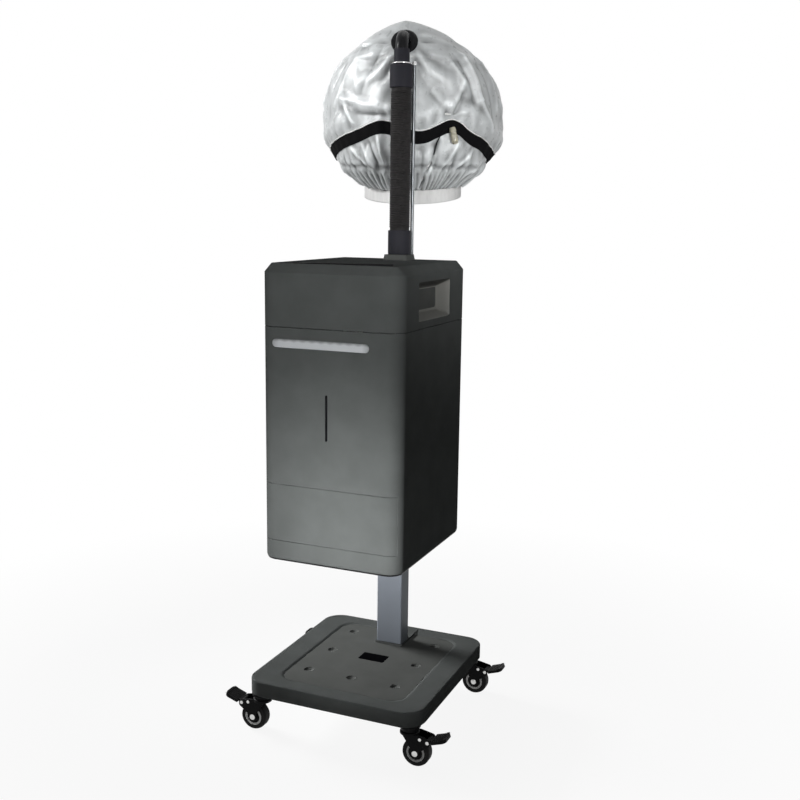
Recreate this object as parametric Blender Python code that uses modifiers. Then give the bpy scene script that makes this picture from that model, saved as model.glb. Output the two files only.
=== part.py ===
"""Hair steamer: a steam cabinet on a wheeled stand, with a ribbed hose and a fabric hood.

Metres, +Z up. The front faces -Y. The origin lies on the floor under the middle of the base.
"""
import math

import bmesh
import bpy
from mathutils import Matrix, Vector

# Clearances
GAP = 0.0003
RUNNING_GAP = 0.0005
SEAM_GAP = 0.0008
CUT_OVERRUN = 0.01

# Share of a slot's width that makes its end round
ROUND_END = 0.499

# Casters
WHEEL_RADIUS = 0.031
WHEEL_WIDTH = 0.024
WHEEL_TRAIL = 0.018
WHEEL_TOP_CLEARANCE = 0.0069
WHEEL_SIDE_GAP = 0.0018
TYRE_SHOULDER = 0.005
RIM_RADIUS = 0.0215
WHEEL_BOSS_RADIUS = 0.0105
WEB_DISH = 0.0025
AXLE_RADIUS = 0.004
AXLE_CAP_RADIUS = 0.0065
AXLE_CAP_THICKNESS = 0.0015
HEAD_RADIUS = 0.024
HEAD_THICKNESS = 0.004
RACE_RADIUS = 0.0195
RACE_HEIGHT = 0.010
KING_PIN_RADIUS = 0.005
KING_PIN_TAIL = 0.001
FORK_TOP_RADIUS = 0.0215
FORK_TOP_THICKNESS = 0.0065
CHEEK_THICKNESS = 0.003
CHEEK_BOSS_RADIUS = 0.0095
BOSS_ROUNDING = 0.9
PEDAL_PIVOT_REACH = 0.028
PEDAL_PIVOT_RISE = 0.030
PEDAL_BARREL_RADIUS = 0.0045
PEDAL_EAR_RADIUS = 0.0065
TRUNNION_RADIUS = 0.0025
PEDAL_LENGTH = 0.044
PEDAL_WIDTH = 0.042
PEDAL_THICKNESS = 0.006
PEDAL_TILT = 18.0
PEDAL_SHOULDER_GAP = 0.0025
CASTER_INSET = 0.030

# Base
BASE_WIDTH = 0.420
BASE_DEPTH = 0.440
BASE_RADIUS = 0.045
BASE_THICKNESS = 0.035
BASE_WALL = 0.004
BASE_EDGE = 0.005
BALLAST_THICKNESS = 0.008
RECESS_SIDE_RIM = 0.055
RECESS_FRONT_RIM = 0.042
RECESS_BACK_RIM = 0.030
RECESS_DEPTH = 0.006
RECESS_RADIUS = 0.040
NOTCH_RADIUS = 0.010
NOTCH_MARGIN = 0.014
MAT_THICKNESS = 0.0032
DIMPLE_RADIUS = 0.011
DIMPLE_DEPTH = 0.0015
DIMPLE_PITCH_X = 0.108
DIMPLE_PITCH_Y = 0.121
DIMPLE_CENTRE_Y = 0.018
INSERT_WIDTH = 0.064
INSERT_DEPTH = 0.038
INSERT_RADIUS = 0.003
INSERT_PROUD = 0.0005

# Column
COLUMN_WIDTH = 0.064
COLUMN_DEPTH = 0.048
COLUMN_RADIUS = 0.004
COLUMN_WALL = 0.002
COLUMN_SETBACK = 0.0315
COLUMN_CLEAR_HEIGHT = 0.295
COLUMN_PLATE_THICKNESS = 0.006
FOOT_PLATE_SIDE_MARGIN = 0.023
FOOT_PLATE_END_MARGIN = 0.018
HEAD_PLATE_SIDE_MARGIN = 0.038
HEAD_PLATE_END_MARGIN = 0.005

# Cabinet casing
CABINET_WIDTH = 0.320
CABINET_DEPTH = 0.383
CABINET_RADIUS = 0.032
CABINET_WALL = 0.003
CABINET_Y = -0.030
CABINET_LOWER_HEIGHT = 0.502
CABINET_UPPER_HEIGHT = 0.1113
TOP_CHAMFER_HEIGHT = 0.019
TOP_CHAMFER_INSET = 0.018
FOOT_CHAMFER = 0.006
TOP_RIM = 0.006
TOP_PANEL_THICKNESS = 0.004
TOP_PANEL_DROP = 0.001

# Front features, heights measured from the cabinet's underside
LIGHT_BAR_LENGTH = 0.2215
LIGHT_BAR_HEIGHT = 0.0187
LIGHT_BAR_X = -0.0187
LIGHT_BAR_LEVEL = 0.4685
LIGHT_BAR_PROUD = 0.001
LIGHT_BAR_DEPTH = 0.0068
BOARD_HEIGHT = 0.060
BOARD_THICKNESS = 0.0016
WINDOW_WIDTH = 0.0055
WINDOW_HEIGHT = 0.0975
WINDOW_X = -0.004
WINDOW_LEVEL = 0.318
WINDOW_DROP = 0.0005
WINDOW_DEPTH = 0.009

# Drawer
DRAWER_LEVEL = 0.042
DRAWER_HEIGHT = 0.125
DRAWER_FRONT_THICKNESS = 0.008
TRAY_WIDTH = 0.276
TRAY_LENGTH = 0.270
TRAY_HEIGHT = 0.075
TRAY_WALL = 0.0025
TRAY_RADIUS = 0.012
TRAY_RISE = 0.003
DECK_THICKNESS = 0.003
RAIL_WIDTH = 0.014
RAIL_INSET = 0.005
TANK_SIDE_MARGIN = 0.013
TANK_END_MARGIN = 0.0175
TANK_HEIGHT = 0.090
TANK_RADIUS = 0.020
TANK_WALL = 0.002
FILLER_RADIUS = 0.018
CAP_FLANGE = 0.004
CAP_HEIGHT = 0.010
CAP_PLUG = 0.006

# Handle pockets in the two sides
HANDLE_LENGTH = 0.180
HANDLE_HEIGHT = 0.081
HANDLE_RADIUS = 0.006
HANDLE_ABOVE_SEAM = 0.015
HANDLE_Y = -0.038
HANDLE_POCKET_DEPTH = 0.028
HANDLE_DRAFT = 0.012
HANDLE_CUP_WALL = 0.0025
HANDLE_CUP_GAP = 0.0006

# Equipment inside
SHELF_LEVEL = 0.192
SHELF_THICKNESS = 0.003
BOILER_RADIUS = 0.068
BOILER_HEIGHT = 0.185
BOILER_SHOULDER = 0.020
BOILER_WALL = 0.002
BOILER_NECK_HEIGHT = 0.030
DUCT_RADIUS = 0.018
DUCT_BORE = 0.0155
DUCT_POINTS = 7
DUCT_LEAD = 0.012
BLOWER_X = 0.085
BLOWER_Y = 0.020
BLOWER_RADIUS = 0.055
BLOWER_HEIGHT = 0.065
BLOWER_WALL = 0.0025
MOTOR_RADIUS = 0.022
MOTOR_HEIGHT = 0.032
SHAFT_RADIUS = 0.003
SHAFT_LENGTH = 0.017
FAN_RADIUS = 0.047
FAN_DISC = 0.003
FAN_BLADES = 8
FAN_BLADE_HEIGHT = 0.018
FAN_BLADE_LENGTH = 0.022
FAN_BLADE_THICKNESS = 0.002
FAN_HUB_RADIUS = 0.008
FAN_RISE = 0.003
PUMP_X = -0.085
PUMP_Y = 0.030
PUMP_RADIUS = 0.024
PUMP_HEIGHT = 0.050
PUMP_HEAD_RADIUS = 0.017
PUMP_HEAD_HEIGHT = 0.018
PUMP_SPOUT_RADIUS = 0.005

# Back
REAR_PANEL_WIDTH = 0.240
REAR_PANEL_HEIGHT = 0.400
REAR_PANEL_LEVEL = 0.255
REAR_PANEL_RADIUS = 0.012
VENT_COUNT = 6
VENT_LENGTH = 0.120
VENT_WIDTH = 0.005
VENT_PITCH = 0.012
VENT_LEVEL = 0.330
INLET_WIDTH = 0.048
INLET_HEIGHT = 0.028
INLET_DEPTH = 0.024
INLET_RADIUS = 0.004
INLET_X = 0.070
INLET_LEVEL = 0.090
SOCKET_WIDTH = 0.026
SOCKET_HEIGHT = 0.018
SOCKET_DEPTH = 0.014
SWITCH_WIDTH = 0.014
SWITCH_HEIGHT = 0.026
SWITCH_X = 0.018
SWITCH_PROUD = 0.0035
SWITCH_SWING = 14.0
SWITCH_PIVOT_DEPTH = 0.002
SWITCH_KEEL = 0.008

# Hose and rod
TUBE_X = 0.015
TUBE_SETBACK = 0.0555
COLLAR_HEIGHT = 0.0115
COLLAR_EDGE = 0.0014
COLLAR_FLARE = 0.003
COLLAR_RADIUS = 0.006
CUFF_RADIUS = 0.026
LOWER_CUFF_HEIGHT = 0.054
UPPER_CUFF_HEIGHT = 0.050
HOSE_LENGTH = 0.3105
HOSE_RADIUS = 0.0225
HOSE_RIB_DEPTH = 0.0022
HOSE_BORE = 0.0165
HOSE_PLAIN_END = 0.006
RIB_COUNT = 60
ROD_RADIUS = 0.004
ROD_CLEARANCE = 0.0004
ROD_INSERT = 0.080
RING_WIRE = 0.002
RING_EAR_RADIUS = 0.0055
RING_EAR_HEIGHT = 0.008

# Neck and hood
NECK_RADIUS = 0.0174
NECK_WALL = 0.0025
NECK_INSERT = 0.030
NECK_BEND = 0.026
NECK_OUTLET = 0.022
HUB_RISE = 0.055
HUB_TILT = 25.0
FLANGE_RADIUS = 0.028
FLANGE_THICKNESS = 0.004
HOOD_SWING = 15.9
HOOD_RADIUS = 0.220
HOOD_FRONT_GAP = 0.036
HOOD_PEAK_ABOVE_HUB = 0.050
HOOD_BELLY_BELOW_HUB = 0.154
HOOD_HEM_BELOW_BELLY = 0.148
HOOD_HEM_RADIUS = 0.1285
HOOD_CROWN_POWER = 0.58
HOOD_SKIRT_POWER = 2.5
HOOD_HEM_TILT = 10.0
HOOD_GATHERS = 20
HOOD_GATHER_SHARE = 0.02
HOOD_GATHER_POWER = 1.5
HOOD_CLOTH = 0.002
HOOD_SEGMENTS = 40
HOOD_SKIRT_RINGS = 5
HOOD_CROWN_RINGS = 6
LINING_INSET = 0.0045
LINING_CLOTH = 0.0018
LINING_DROP = 0.033
LINING_SEGMENTS = 30
HOOP_WIRE = 0.0025
STRAP_HEIGHT = 0.024
STRAP_THICKNESS = 0.0012
STRAP_BELOW_BELLY = 0.092
STRAP_FRONT_RISE = 0.060
STRAP_RISE_POWER = 1.2
STRAP_LEFT_HUMP = 0.009
STRAP_LEFT_HUMP_AT = 165.0
STRAP_DIP = -0.011
STRAP_DIP_AT = 189.0
STRAP_RIGHT_HUMP = 0.020
STRAP_RIGHT_HUMP_AT = 212.0
STRAP_WAVE_SPREAD = 11.0

# Facet counts
ARC_STEPS = 5
ARC_STEP_RADIUS = 0.003
SMALL_ARC_STEPS = 2
SMALL_ROUND_STEPS = 10
ROUND_STEPS = 16
FINE_STEPS = 24
RING_SIDES = 6
NECK_BEND_STEPS = 6
COARSE_PIPE_STEPS = 2
FINE_PIPE_STEPS = 3

# Heights that follow from the sizes above
WHEEL_CENTRE = WHEEL_RADIUS
FORK_TOP_UNDERSIDE = 2 * WHEEL_RADIUS + WHEEL_TOP_CLEARANCE
FORK_TOP = FORK_TOP_UNDERSIDE + FORK_TOP_THICKNESS
RACE_BOTTOM = FORK_TOP + GAP
HEAD_BOTTOM = RACE_BOTTOM + RACE_HEIGHT
HEAD_TOP = HEAD_BOTTOM + HEAD_THICKNESS
BASE_BOTTOM = HEAD_TOP + GAP
BASE_TOP = BASE_BOTTOM + BASE_THICKNESS
RECESS_FLOOR = BASE_TOP - RECESS_DEPTH
BALLAST_TOP = BASE_BOTTOM + BALLAST_THICKNESS
CABINET_BOTTOM = BASE_TOP + COLUMN_CLEAR_HEIGHT
CABINET_FLOOR = CABINET_BOTTOM + CABINET_WALL
SEAM = CABINET_BOTTOM + CABINET_LOWER_HEIGHT
CHAMFER_START = SEAM + CABINET_UPPER_HEIGHT
CABINET_TOP = CHAMFER_START + TOP_CHAMFER_HEIGHT
CABINET_FRONT = CABINET_Y - CABINET_DEPTH / 2
CABINET_BACK = CABINET_Y + CABINET_DEPTH / 2
COLUMN_Y = CABINET_BACK - COLUMN_SETBACK
TUBE_Y = CABINET_BACK - TUBE_SETBACK
TANK_WIDTH = TRAY_WIDTH - 2 * TANK_SIDE_MARGIN
TANK_LENGTH = TRAY_LENGTH - 2 * TANK_END_MARGIN
SHELF_TOP = CABINET_BOTTOM + SHELF_LEVEL + SHELF_THICKNESS
TOP_PANEL_TOP = CABINET_TOP - TOP_PANEL_DROP
COLLAR_BOTTOM = TOP_PANEL_TOP + GAP
COLLAR_TOP = CABINET_TOP + COLLAR_HEIGHT
LOWER_CUFF_BOTTOM = COLLAR_TOP + GAP
LOWER_CUFF_TOP = LOWER_CUFF_BOTTOM + LOWER_CUFF_HEIGHT
HOSE_BOTTOM = LOWER_CUFF_TOP + GAP
HOSE_TOP = HOSE_BOTTOM + HOSE_LENGTH
UPPER_CUFF_BOTTOM = HOSE_TOP + GAP
UPPER_CUFF_TOP = UPPER_CUFF_BOTTOM + UPPER_CUFF_HEIGHT
RING_LEVEL = UPPER_CUFF_TOP + GAP + RING_WIRE
ROD_OFFSET = (CUFF_RADIUS + ROD_RADIUS + ROD_CLEARANCE) / math.sqrt(2)
ROD_BOTTOM = CABINET_TOP - ROD_INSERT
HUB_LEVEL = UPPER_CUFF_TOP + HUB_RISE
HOOD_PEAK = HUB_LEVEL + HOOD_PEAK_ABOVE_HUB
HOOD_BELLY = HUB_LEVEL - HOOD_BELLY_BELOW_HUB
HOOD_HEM = HOOD_BELLY - HOOD_HEM_BELOW_BELLY
HUB_LEAN = math.radians(HUB_TILT)
HOOD_LEAN_START = HUB_LEVEL - FLANGE_RADIUS * math.cos(HUB_LEAN)

for old in list(bpy.data.objects):
    bpy.data.objects.remove(old, do_unlink=True)

PARTS = bpy.data.collections.new("hair_steamer")
CUTTERS = bpy.data.collections.new("cutters")
bpy.context.scene.collection.children.link(PARTS)
bpy.context.scene.collection.children.link(CUTTERS)


def finish(name, colour, roughness, metallic=0.0):
    """A material of one colour."""
    material = bpy.data.materials.new(name)
    material.use_nodes = True
    shader = material.node_tree.nodes["Principled BSDF"]
    shader.inputs["Base Color"].default_value = (*colour, 1.0)
    shader.inputs["Roughness"].default_value = roughness
    shader.inputs["Metallic"].default_value = metallic
    material.diffuse_color = (*colour, 1.0)
    return material


CASING = finish("charcoal_casing", (0.075, 0.082, 0.080), 0.42)
TRIM_GREY = finish("grey_trim", (0.150, 0.155, 0.150), 0.45)
BLACK = finish("black_moulding", (0.012, 0.012, 0.013), 0.38)
GLOSS_BLACK = finish("gloss_black", (0.008, 0.008, 0.009), 0.12)
HOSE_BLACK = finish("hose_black", (0.022, 0.021, 0.021), 0.50)
TYRE_BLACK = finish("tyre_black", (0.015, 0.015, 0.015), 0.65)
COLUMN_GREY = finish("column_paint", (0.200, 0.220, 0.255), 0.40, 0.3)
STEEL = finish("plated_steel", (0.550, 0.560, 0.570), 0.35, 1.0)
CHROME = finish("chrome", (0.800, 0.800, 0.800), 0.08, 1.0)
LENS = finish("frosted_lens", (0.750, 0.770, 0.780), 0.35)
DARK_GLASS = finish("dark_glass", (0.006, 0.006, 0.007), 0.10)
CLEAR_PLASTIC = finish("tank_plastic", (0.620, 0.680, 0.720), 0.25)
BOARD_GREEN = finish("board_green", (0.020, 0.120, 0.050), 0.45)
SILICONE = finish("silicone", (0.550, 0.540, 0.520), 0.55)
SILVER_CLOTH = finish("silver_cloth", (0.600, 0.620, 0.630), 0.38, 0.4)
WHITE_CLOTH = finish("white_cloth", (0.820, 0.820, 0.810), 0.85)
BLACK_WEBBING = finish("black_webbing", (0.012, 0.012, 0.012), 0.80)


def rounded_polygon(corners, steps=None):
    """Outline through corners given as (x, y, radius): an arc each, or a point where the radius is 0."""
    outline = []
    count = len(corners)
    for index, (x, y, radius) in enumerate(corners):
        arc = steps or max(SMALL_ARC_STEPS, min(ARC_STEPS, round(radius / ARC_STEP_RADIUS)))
        corner = Vector((x, y))
        if radius == 0:
            outline.append(corner[:])
            continue
        before = Vector(corners[index - 1][:2]) - corner
        after = Vector(corners[(index + 1) % count][:2]) - corner
        before.normalize()
        after.normalize()
        half = before.angle(after) / 2
        centre = corner + (before + after).normalized() * radius / math.sin(half)
        start = corner + before * radius / math.tan(half) - centre
        turn = start.angle_signed(corner + after * radius / math.tan(half) - centre)
        for step in range(arc + 1):
            spoke = start.copy()
            spoke.rotate(Matrix.Rotation(-turn * step / arc, 2))
            outline.append((centre + spoke)[:])
    return outline


def rounded_rectangle(width, depth, radius, centre=(0.0, 0.0), steps=None):
    """Counter-clockwise rectangle with round corners."""
    x, y = centre
    half_x = width / 2
    half_y = depth / 2
    return rounded_polygon([
        (x + half_x, y + half_y, radius),
        (x - half_x, y + half_y, radius),
        (x - half_x, y - half_y, radius),
        (x + half_x, y - half_y, radius),
    ], steps)


def circle(radius, centre, sides=SMALL_ROUND_STEPS):
    """A round outline, for holes."""
    x, y = centre
    angles = [math.tau * index / sides for index in range(sides)]
    return [(x + radius * math.cos(angle), y + radius * math.sin(angle)) for angle in angles]


def evaluated_mesh(holder):
    """The mesh that an object shows with its modifiers."""
    bpy.context.view_layer.update()
    graph = bpy.context.evaluated_depsgraph_get()
    return bpy.data.meshes.new_from_object(holder.evaluated_get(graph))


def welded(mesh, outward=True):
    """Merge coincident points and, on a closed mesh, turn the faces outwards."""
    work = bmesh.new()
    work.from_mesh(mesh)
    bmesh.ops.remove_doubles(work, verts=work.verts, dist=1e-6)
    bmesh.ops.dissolve_degenerate(work, edges=work.edges, dist=1e-7)
    if outward:
        bmesh.ops.recalc_face_normals(work, faces=work.faces)
    work.to_mesh(mesh)
    work.free()
    return mesh


def mesh_of(holder):
    """Turn a helper object into its welded mesh and remove the helper."""
    mesh = welded(evaluated_mesh(holder))
    bpy.data.objects.remove(holder, do_unlink=True)
    return mesh


def slab(name, outlines, bottom, top):
    """A flat plate of the outlines' shape. A second outline inside the first is a hole."""
    curve = bpy.data.curves.new(name, "CURVE")
    curve.dimensions = "2D"
    curve.fill_mode = "BOTH"
    curve.extrude = (top - bottom) / 2
    for outline in outlines:
        spline = curve.splines.new("POLY")
        spline.points.add(len(outline) - 1)
        for point, (x, y) in zip(spline.points, outline):
            point.co = (x, y, 0.0, 1.0)
        spline.use_cyclic_u = True
    holder = bpy.data.objects.new(name, curve)
    CUTTERS.objects.link(holder)
    mesh = mesh_of(holder)
    mesh.transform(Matrix.Translation((0, 0, (top + bottom) / 2)))
    return mesh


def turned(name, profile, steps=ROUND_STEPS, closed=False):
    """A profile of (radius, height) points, run top to bottom on its outer side, turned about Z."""
    mesh = bpy.data.meshes.new(name)
    points = [(radius, 0.0, height) for radius, height in profile]
    edges = [(index, index + 1) for index in range(len(points) - 1)]
    if closed:
        edges.append((len(points) - 1, 0))
    mesh.from_pydata(points, edges, [])
    holder = bpy.data.objects.new(name, mesh)
    CUTTERS.objects.link(holder)
    screw = holder.modifiers.new("turn", "SCREW")
    screw.steps = steps
    screw.render_steps = steps
    screw.use_merge_vertices = True
    screw.merge_threshold = 0.00002
    return mesh_of(holder)


def cylinder(name, radius, bottom, top, steps=ROUND_STEPS):
    return turned(name, [(0, top), (radius, top), (radius, bottom), (0, bottom)], steps)


def pipe(name, path, radius, resolution):
    """A round tube along a path, with filled ends."""
    curve = bpy.data.curves.new(name, "CURVE")
    curve.dimensions = "3D"
    curve.bevel_depth = radius
    curve.bevel_resolution = resolution
    curve.use_fill_caps = True
    spline = curve.splines.new("POLY")
    spline.points.add(len(path) - 1)
    for point, place in zip(spline.points, path):
        point.co = (*place, 1.0)
    holder = bpy.data.objects.new(name, curve)
    CUTTERS.objects.link(holder)
    return mesh_of(holder)


def block(name, low, high):
    """A box between two corners."""
    work = bmesh.new()
    size = Vector(high) - Vector(low)
    middle = (Vector(high) + Vector(low)) / 2
    bmesh.ops.create_cube(work, size=1.0, matrix=Matrix.Translation(middle) @ Matrix.Diagonal((*size, 1.0)))
    mesh = bpy.data.meshes.new(name)
    work.to_mesh(mesh)
    work.free()
    return mesh


def loft(name, rings, cap_start=False, cap_end=False):
    """A skin through rings of equal point count, open at the ends that aren't capped."""
    work = bmesh.new()
    rows = [[work.verts.new(point) for point in ring] for ring in rings]
    for lower, upper in zip(rows, rows[1:]):
        for index in range(len(lower)):
            following = (index + 1) % len(lower)
            work.faces.new((lower[index], lower[following], upper[following], upper[index]))
    if cap_start:
        work.faces.new(list(reversed(rows[0])))
    if cap_end:
        work.faces.new(rows[-1])
    mesh = bpy.data.meshes.new(name)
    work.to_mesh(mesh)
    work.free()
    return mesh


def level_ring(outline, height):
    return [(x, y, height) for x, y in outline]


def combined(name, meshes):
    """Several separate shapes in one cutter."""
    work = bmesh.new()
    for mesh in meshes:
        work.from_mesh(mesh)
    joined = bpy.data.meshes.new(name)
    work.to_mesh(joined)
    work.free()
    return joined


def stand(name, mesh, material, parent=None, at=(0, 0, 0), turn=(0, 0, 0)):
    """A sub-part of the object."""
    mesh.shade_smooth()
    mesh.set_sharp_from_angle(angle=math.radians(35))
    part = bpy.data.objects.new(name, mesh)
    if not mesh.materials:
        mesh.materials.append(material)
    PARTS.objects.link(part)
    part.parent = parent
    part.location = at
    part.rotation_euler = turn
    return part


def guide(mesh, parent=None, at=(0, 0, 0), turn=(0, 0, 0)):
    """A shape that only cuts or joins others."""
    cutter = bpy.data.objects.new(mesh.name + "_guide", mesh)
    CUTTERS.objects.link(cutter)
    cutter.hide_render = True
    cutter.display_type = "WIRE"
    cutter.parent = parent
    cutter.location = at
    cutter.rotation_euler = turn
    return cutter


def combine(part, cutter, operation):
    modifier = part.modifiers.new(operation.lower(), "BOOLEAN")
    modifier.operation = operation
    modifier.solver = "EXACT"
    modifier.object = cutter


def cut(part, cutter):
    combine(part, cutter, "DIFFERENCE")


def join(part, cutter):
    combine(part, cutter, "UNION")


def thicken(part, wall):
    """Give an open skin its wall, on the inner side."""
    modifier = part.modifiers.new("wall", "SOLIDIFY")
    modifier.thickness = wall
    modifier.offset = -1.0
    modifier.use_even_offset = True


def axis_empty(name, at, turn=(0, 0, 0), parent=None):
    """An empty on a joint's axis, for the pieces that turn or slide about it."""
    empty = bpy.data.objects.new(name, None)
    PARTS.objects.link(empty)
    empty.parent = parent
    empty.location = at
    empty.rotation_euler = turn
    return empty


def cabinet_outline(inset, radius):
    """The cabinet's plan, drawn in by an inset."""
    return rounded_rectangle(
        CABINET_WIDTH - 2 * inset, CABINET_DEPTH - 2 * inset, radius, (0.0, CABINET_Y), ARC_STEPS)


FACE_FRONT = (math.pi / 2, 0, 0)
FACE_BACK = (math.pi / 2, 0, math.pi)


def base_outline(inset):
    """The base's plan, drawn in by an inset."""
    return rounded_rectangle(
        BASE_WIDTH - 2 * inset, BASE_DEPTH - 2 * inset, BASE_RADIUS - inset, steps=ARC_STEPS)


def build_base():
    outline = base_outline(0.0)
    edge = base_outline(BASE_EDGE)
    shell = stand("base_shell", loft("base_shell", [
        level_ring(outline, BASE_BOTTOM),
        level_ring(outline, BASE_TOP - BASE_EDGE),
        level_ring(edge, BASE_TOP),
    ], cap_start=True, cap_end=True), CASING)
    cut(shell, guide(slab("recess", [mat_outline(0.0)], RECESS_FLOOR, BASE_TOP + CUT_OVERRUN)))
    pocket_top = RECESS_FLOOR - BASE_WALL
    cut(shell, guide(slab("base_pocket", [base_outline(BASE_WALL)], BASE_BOTTOM - CUT_OVERRUN, pocket_top)))
    hole = rounded_rectangle(
        COLUMN_WIDTH + 2 * RUNNING_GAP, COLUMN_DEPTH + 2 * RUNNING_GAP, COLUMN_RADIUS, (0.0, COLUMN_Y))
    cut(shell, guide(slab("column_hole", [hole], pocket_top - CUT_OVERRUN, BASE_TOP + CUT_OVERRUN)))

    plate = base_outline(BASE_WALL + GAP)
    stand("base_ballast", slab("base_ballast", [plate], BASE_BOTTOM, BALLAST_TOP), STEEL)

    mat_bottom = RECESS_FLOOR + GAP
    mat_top = mat_bottom + MAT_THICKNESS
    window = rounded_rectangle(INSERT_WIDTH, INSERT_DEPTH, INSERT_RADIUS, (0.0, DIMPLE_CENTRE_Y))
    mat = stand("base_mat", slab("base_mat", [mat_outline(GAP), window], mat_bottom, mat_top), TRIM_GREY)
    cut(mat, guide(dimples(mat_top)))
    insert = rounded_rectangle(
        INSERT_WIDTH - 2 * GAP, INSERT_DEPTH - 2 * GAP, INSERT_RADIUS - GAP, (0.0, DIMPLE_CENTRE_Y))
    stand("base_insert", slab("base_insert", [insert], mat_bottom, mat_top + INSERT_PROUD), GLOSS_BLACK)


def mat_outline(inset):
    """The recess in the base: a round-cornered rectangle notched for the column."""
    side = BASE_WIDTH / 2 - RECESS_SIDE_RIM - inset
    front = -BASE_DEPTH / 2 + RECESS_FRONT_RIM + inset
    back = BASE_DEPTH / 2 - RECESS_BACK_RIM - inset
    notch_side = COLUMN_WIDTH / 2 + NOTCH_MARGIN + inset
    notch_front = COLUMN_Y - COLUMN_DEPTH / 2 - NOTCH_MARGIN - inset
    return rounded_polygon([
        (side, back, RECESS_RADIUS),
        (notch_side, back, NOTCH_RADIUS),
        (notch_side, notch_front, NOTCH_RADIUS),
        (-notch_side, notch_front, NOTCH_RADIUS),
        (-notch_side, back, NOTCH_RADIUS),
        (-side, back, RECESS_RADIUS),
        (-side, front, RECESS_RADIUS),
        (side, front, RECESS_RADIUS),
    ])


def dimples(level):
    """Shallow round dimples on a three by three grid, left out behind and in the middle."""
    sphere_radius = (DIMPLE_RADIUS ** 2 + DIMPLE_DEPTH ** 2) / (2 * DIMPLE_DEPTH)
    reach = math.asin(DIMPLE_RADIUS / sphere_radius)
    bowl = [(sphere_radius * math.sin(reach * step / 2), -sphere_radius * math.cos(reach * step / 2))
            for step in range(3)]
    profile = [(0, CUT_OVERRUN), (DIMPLE_RADIUS, CUT_OVERRUN)]
    profile += [(radius, height + sphere_radius - DIMPLE_DEPTH) for radius, height in reversed(bowl)]
    places = []
    for column in (-1, 0, 1):
        for row in (-1, 0, 1):
            if column or row < 0:
                places.append((column * DIMPLE_PITCH_X, DIMPLE_CENTRE_Y + row * DIMPLE_PITCH_Y))
    bowls = []
    for x, y in places:
        mesh = turned("dimple", profile, SMALL_ROUND_STEPS)
        mesh.transform(Matrix.Translation((x, y, level)))
        bowls.append(mesh)
    return combined("dimples", bowls)


def build_column():
    place = (0.0, COLUMN_Y)
    outer = rounded_rectangle(COLUMN_WIDTH, COLUMN_DEPTH, COLUMN_RADIUS, place)
    bore = rounded_rectangle(
        COLUMN_WIDTH - 2 * COLUMN_WALL, COLUMN_DEPTH - 2 * COLUMN_WALL, COLUMN_RADIUS - COLUMN_WALL, place)
    bottom = BALLAST_TOP + GAP
    top = CABINET_BOTTOM - GAP
    column = stand("column", slab("column", [outer], bottom, top), COLUMN_GREY)
    foot = rounded_rectangle(
        COLUMN_WIDTH + 2 * FOOT_PLATE_SIDE_MARGIN,
        COLUMN_DEPTH + 2 * FOOT_PLATE_END_MARGIN,
        COLUMN_RADIUS, place)
    head = rounded_rectangle(
        COLUMN_WIDTH + 2 * HEAD_PLATE_SIDE_MARGIN,
        COLUMN_DEPTH + 2 * HEAD_PLATE_END_MARGIN,
        COLUMN_RADIUS, place)
    join(column, guide(slab("foot_plate", [foot], bottom, bottom + COLUMN_PLATE_THICKNESS)))
    join(column, guide(slab("head_plate", [head], top - COLUMN_PLATE_THICKNESS, top)))
    cut(column, guide(slab("column_bore", [bore], bottom - CUT_OVERRUN, top + CUT_OVERRUN)))


def caster_head_mesh():
    return turned("caster_head", [
        (0, HEAD_TOP),
        (HEAD_RADIUS, HEAD_TOP),
        (HEAD_RADIUS, HEAD_BOTTOM),
        (RACE_RADIUS, HEAD_BOTTOM),
        (RACE_RADIUS, RACE_BOTTOM),
        (KING_PIN_RADIUS, RACE_BOTTOM),
        (KING_PIN_RADIUS, FORK_TOP_UNDERSIDE - KING_PIN_TAIL),
        (0, FORK_TOP_UNDERSIDE - KING_PIN_TAIL),
    ], SMALL_ROUND_STEPS)


CHEEK_INNER = WHEEL_WIDTH / 2 + WHEEL_SIDE_GAP
CHEEK_OUTER = CHEEK_INNER + CHEEK_THICKNESS
PIVOT_X = WHEEL_TRAIL + PEDAL_PIVOT_REACH
PIVOT_Z = WHEEL_CENTRE + PEDAL_PIVOT_RISE


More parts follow.
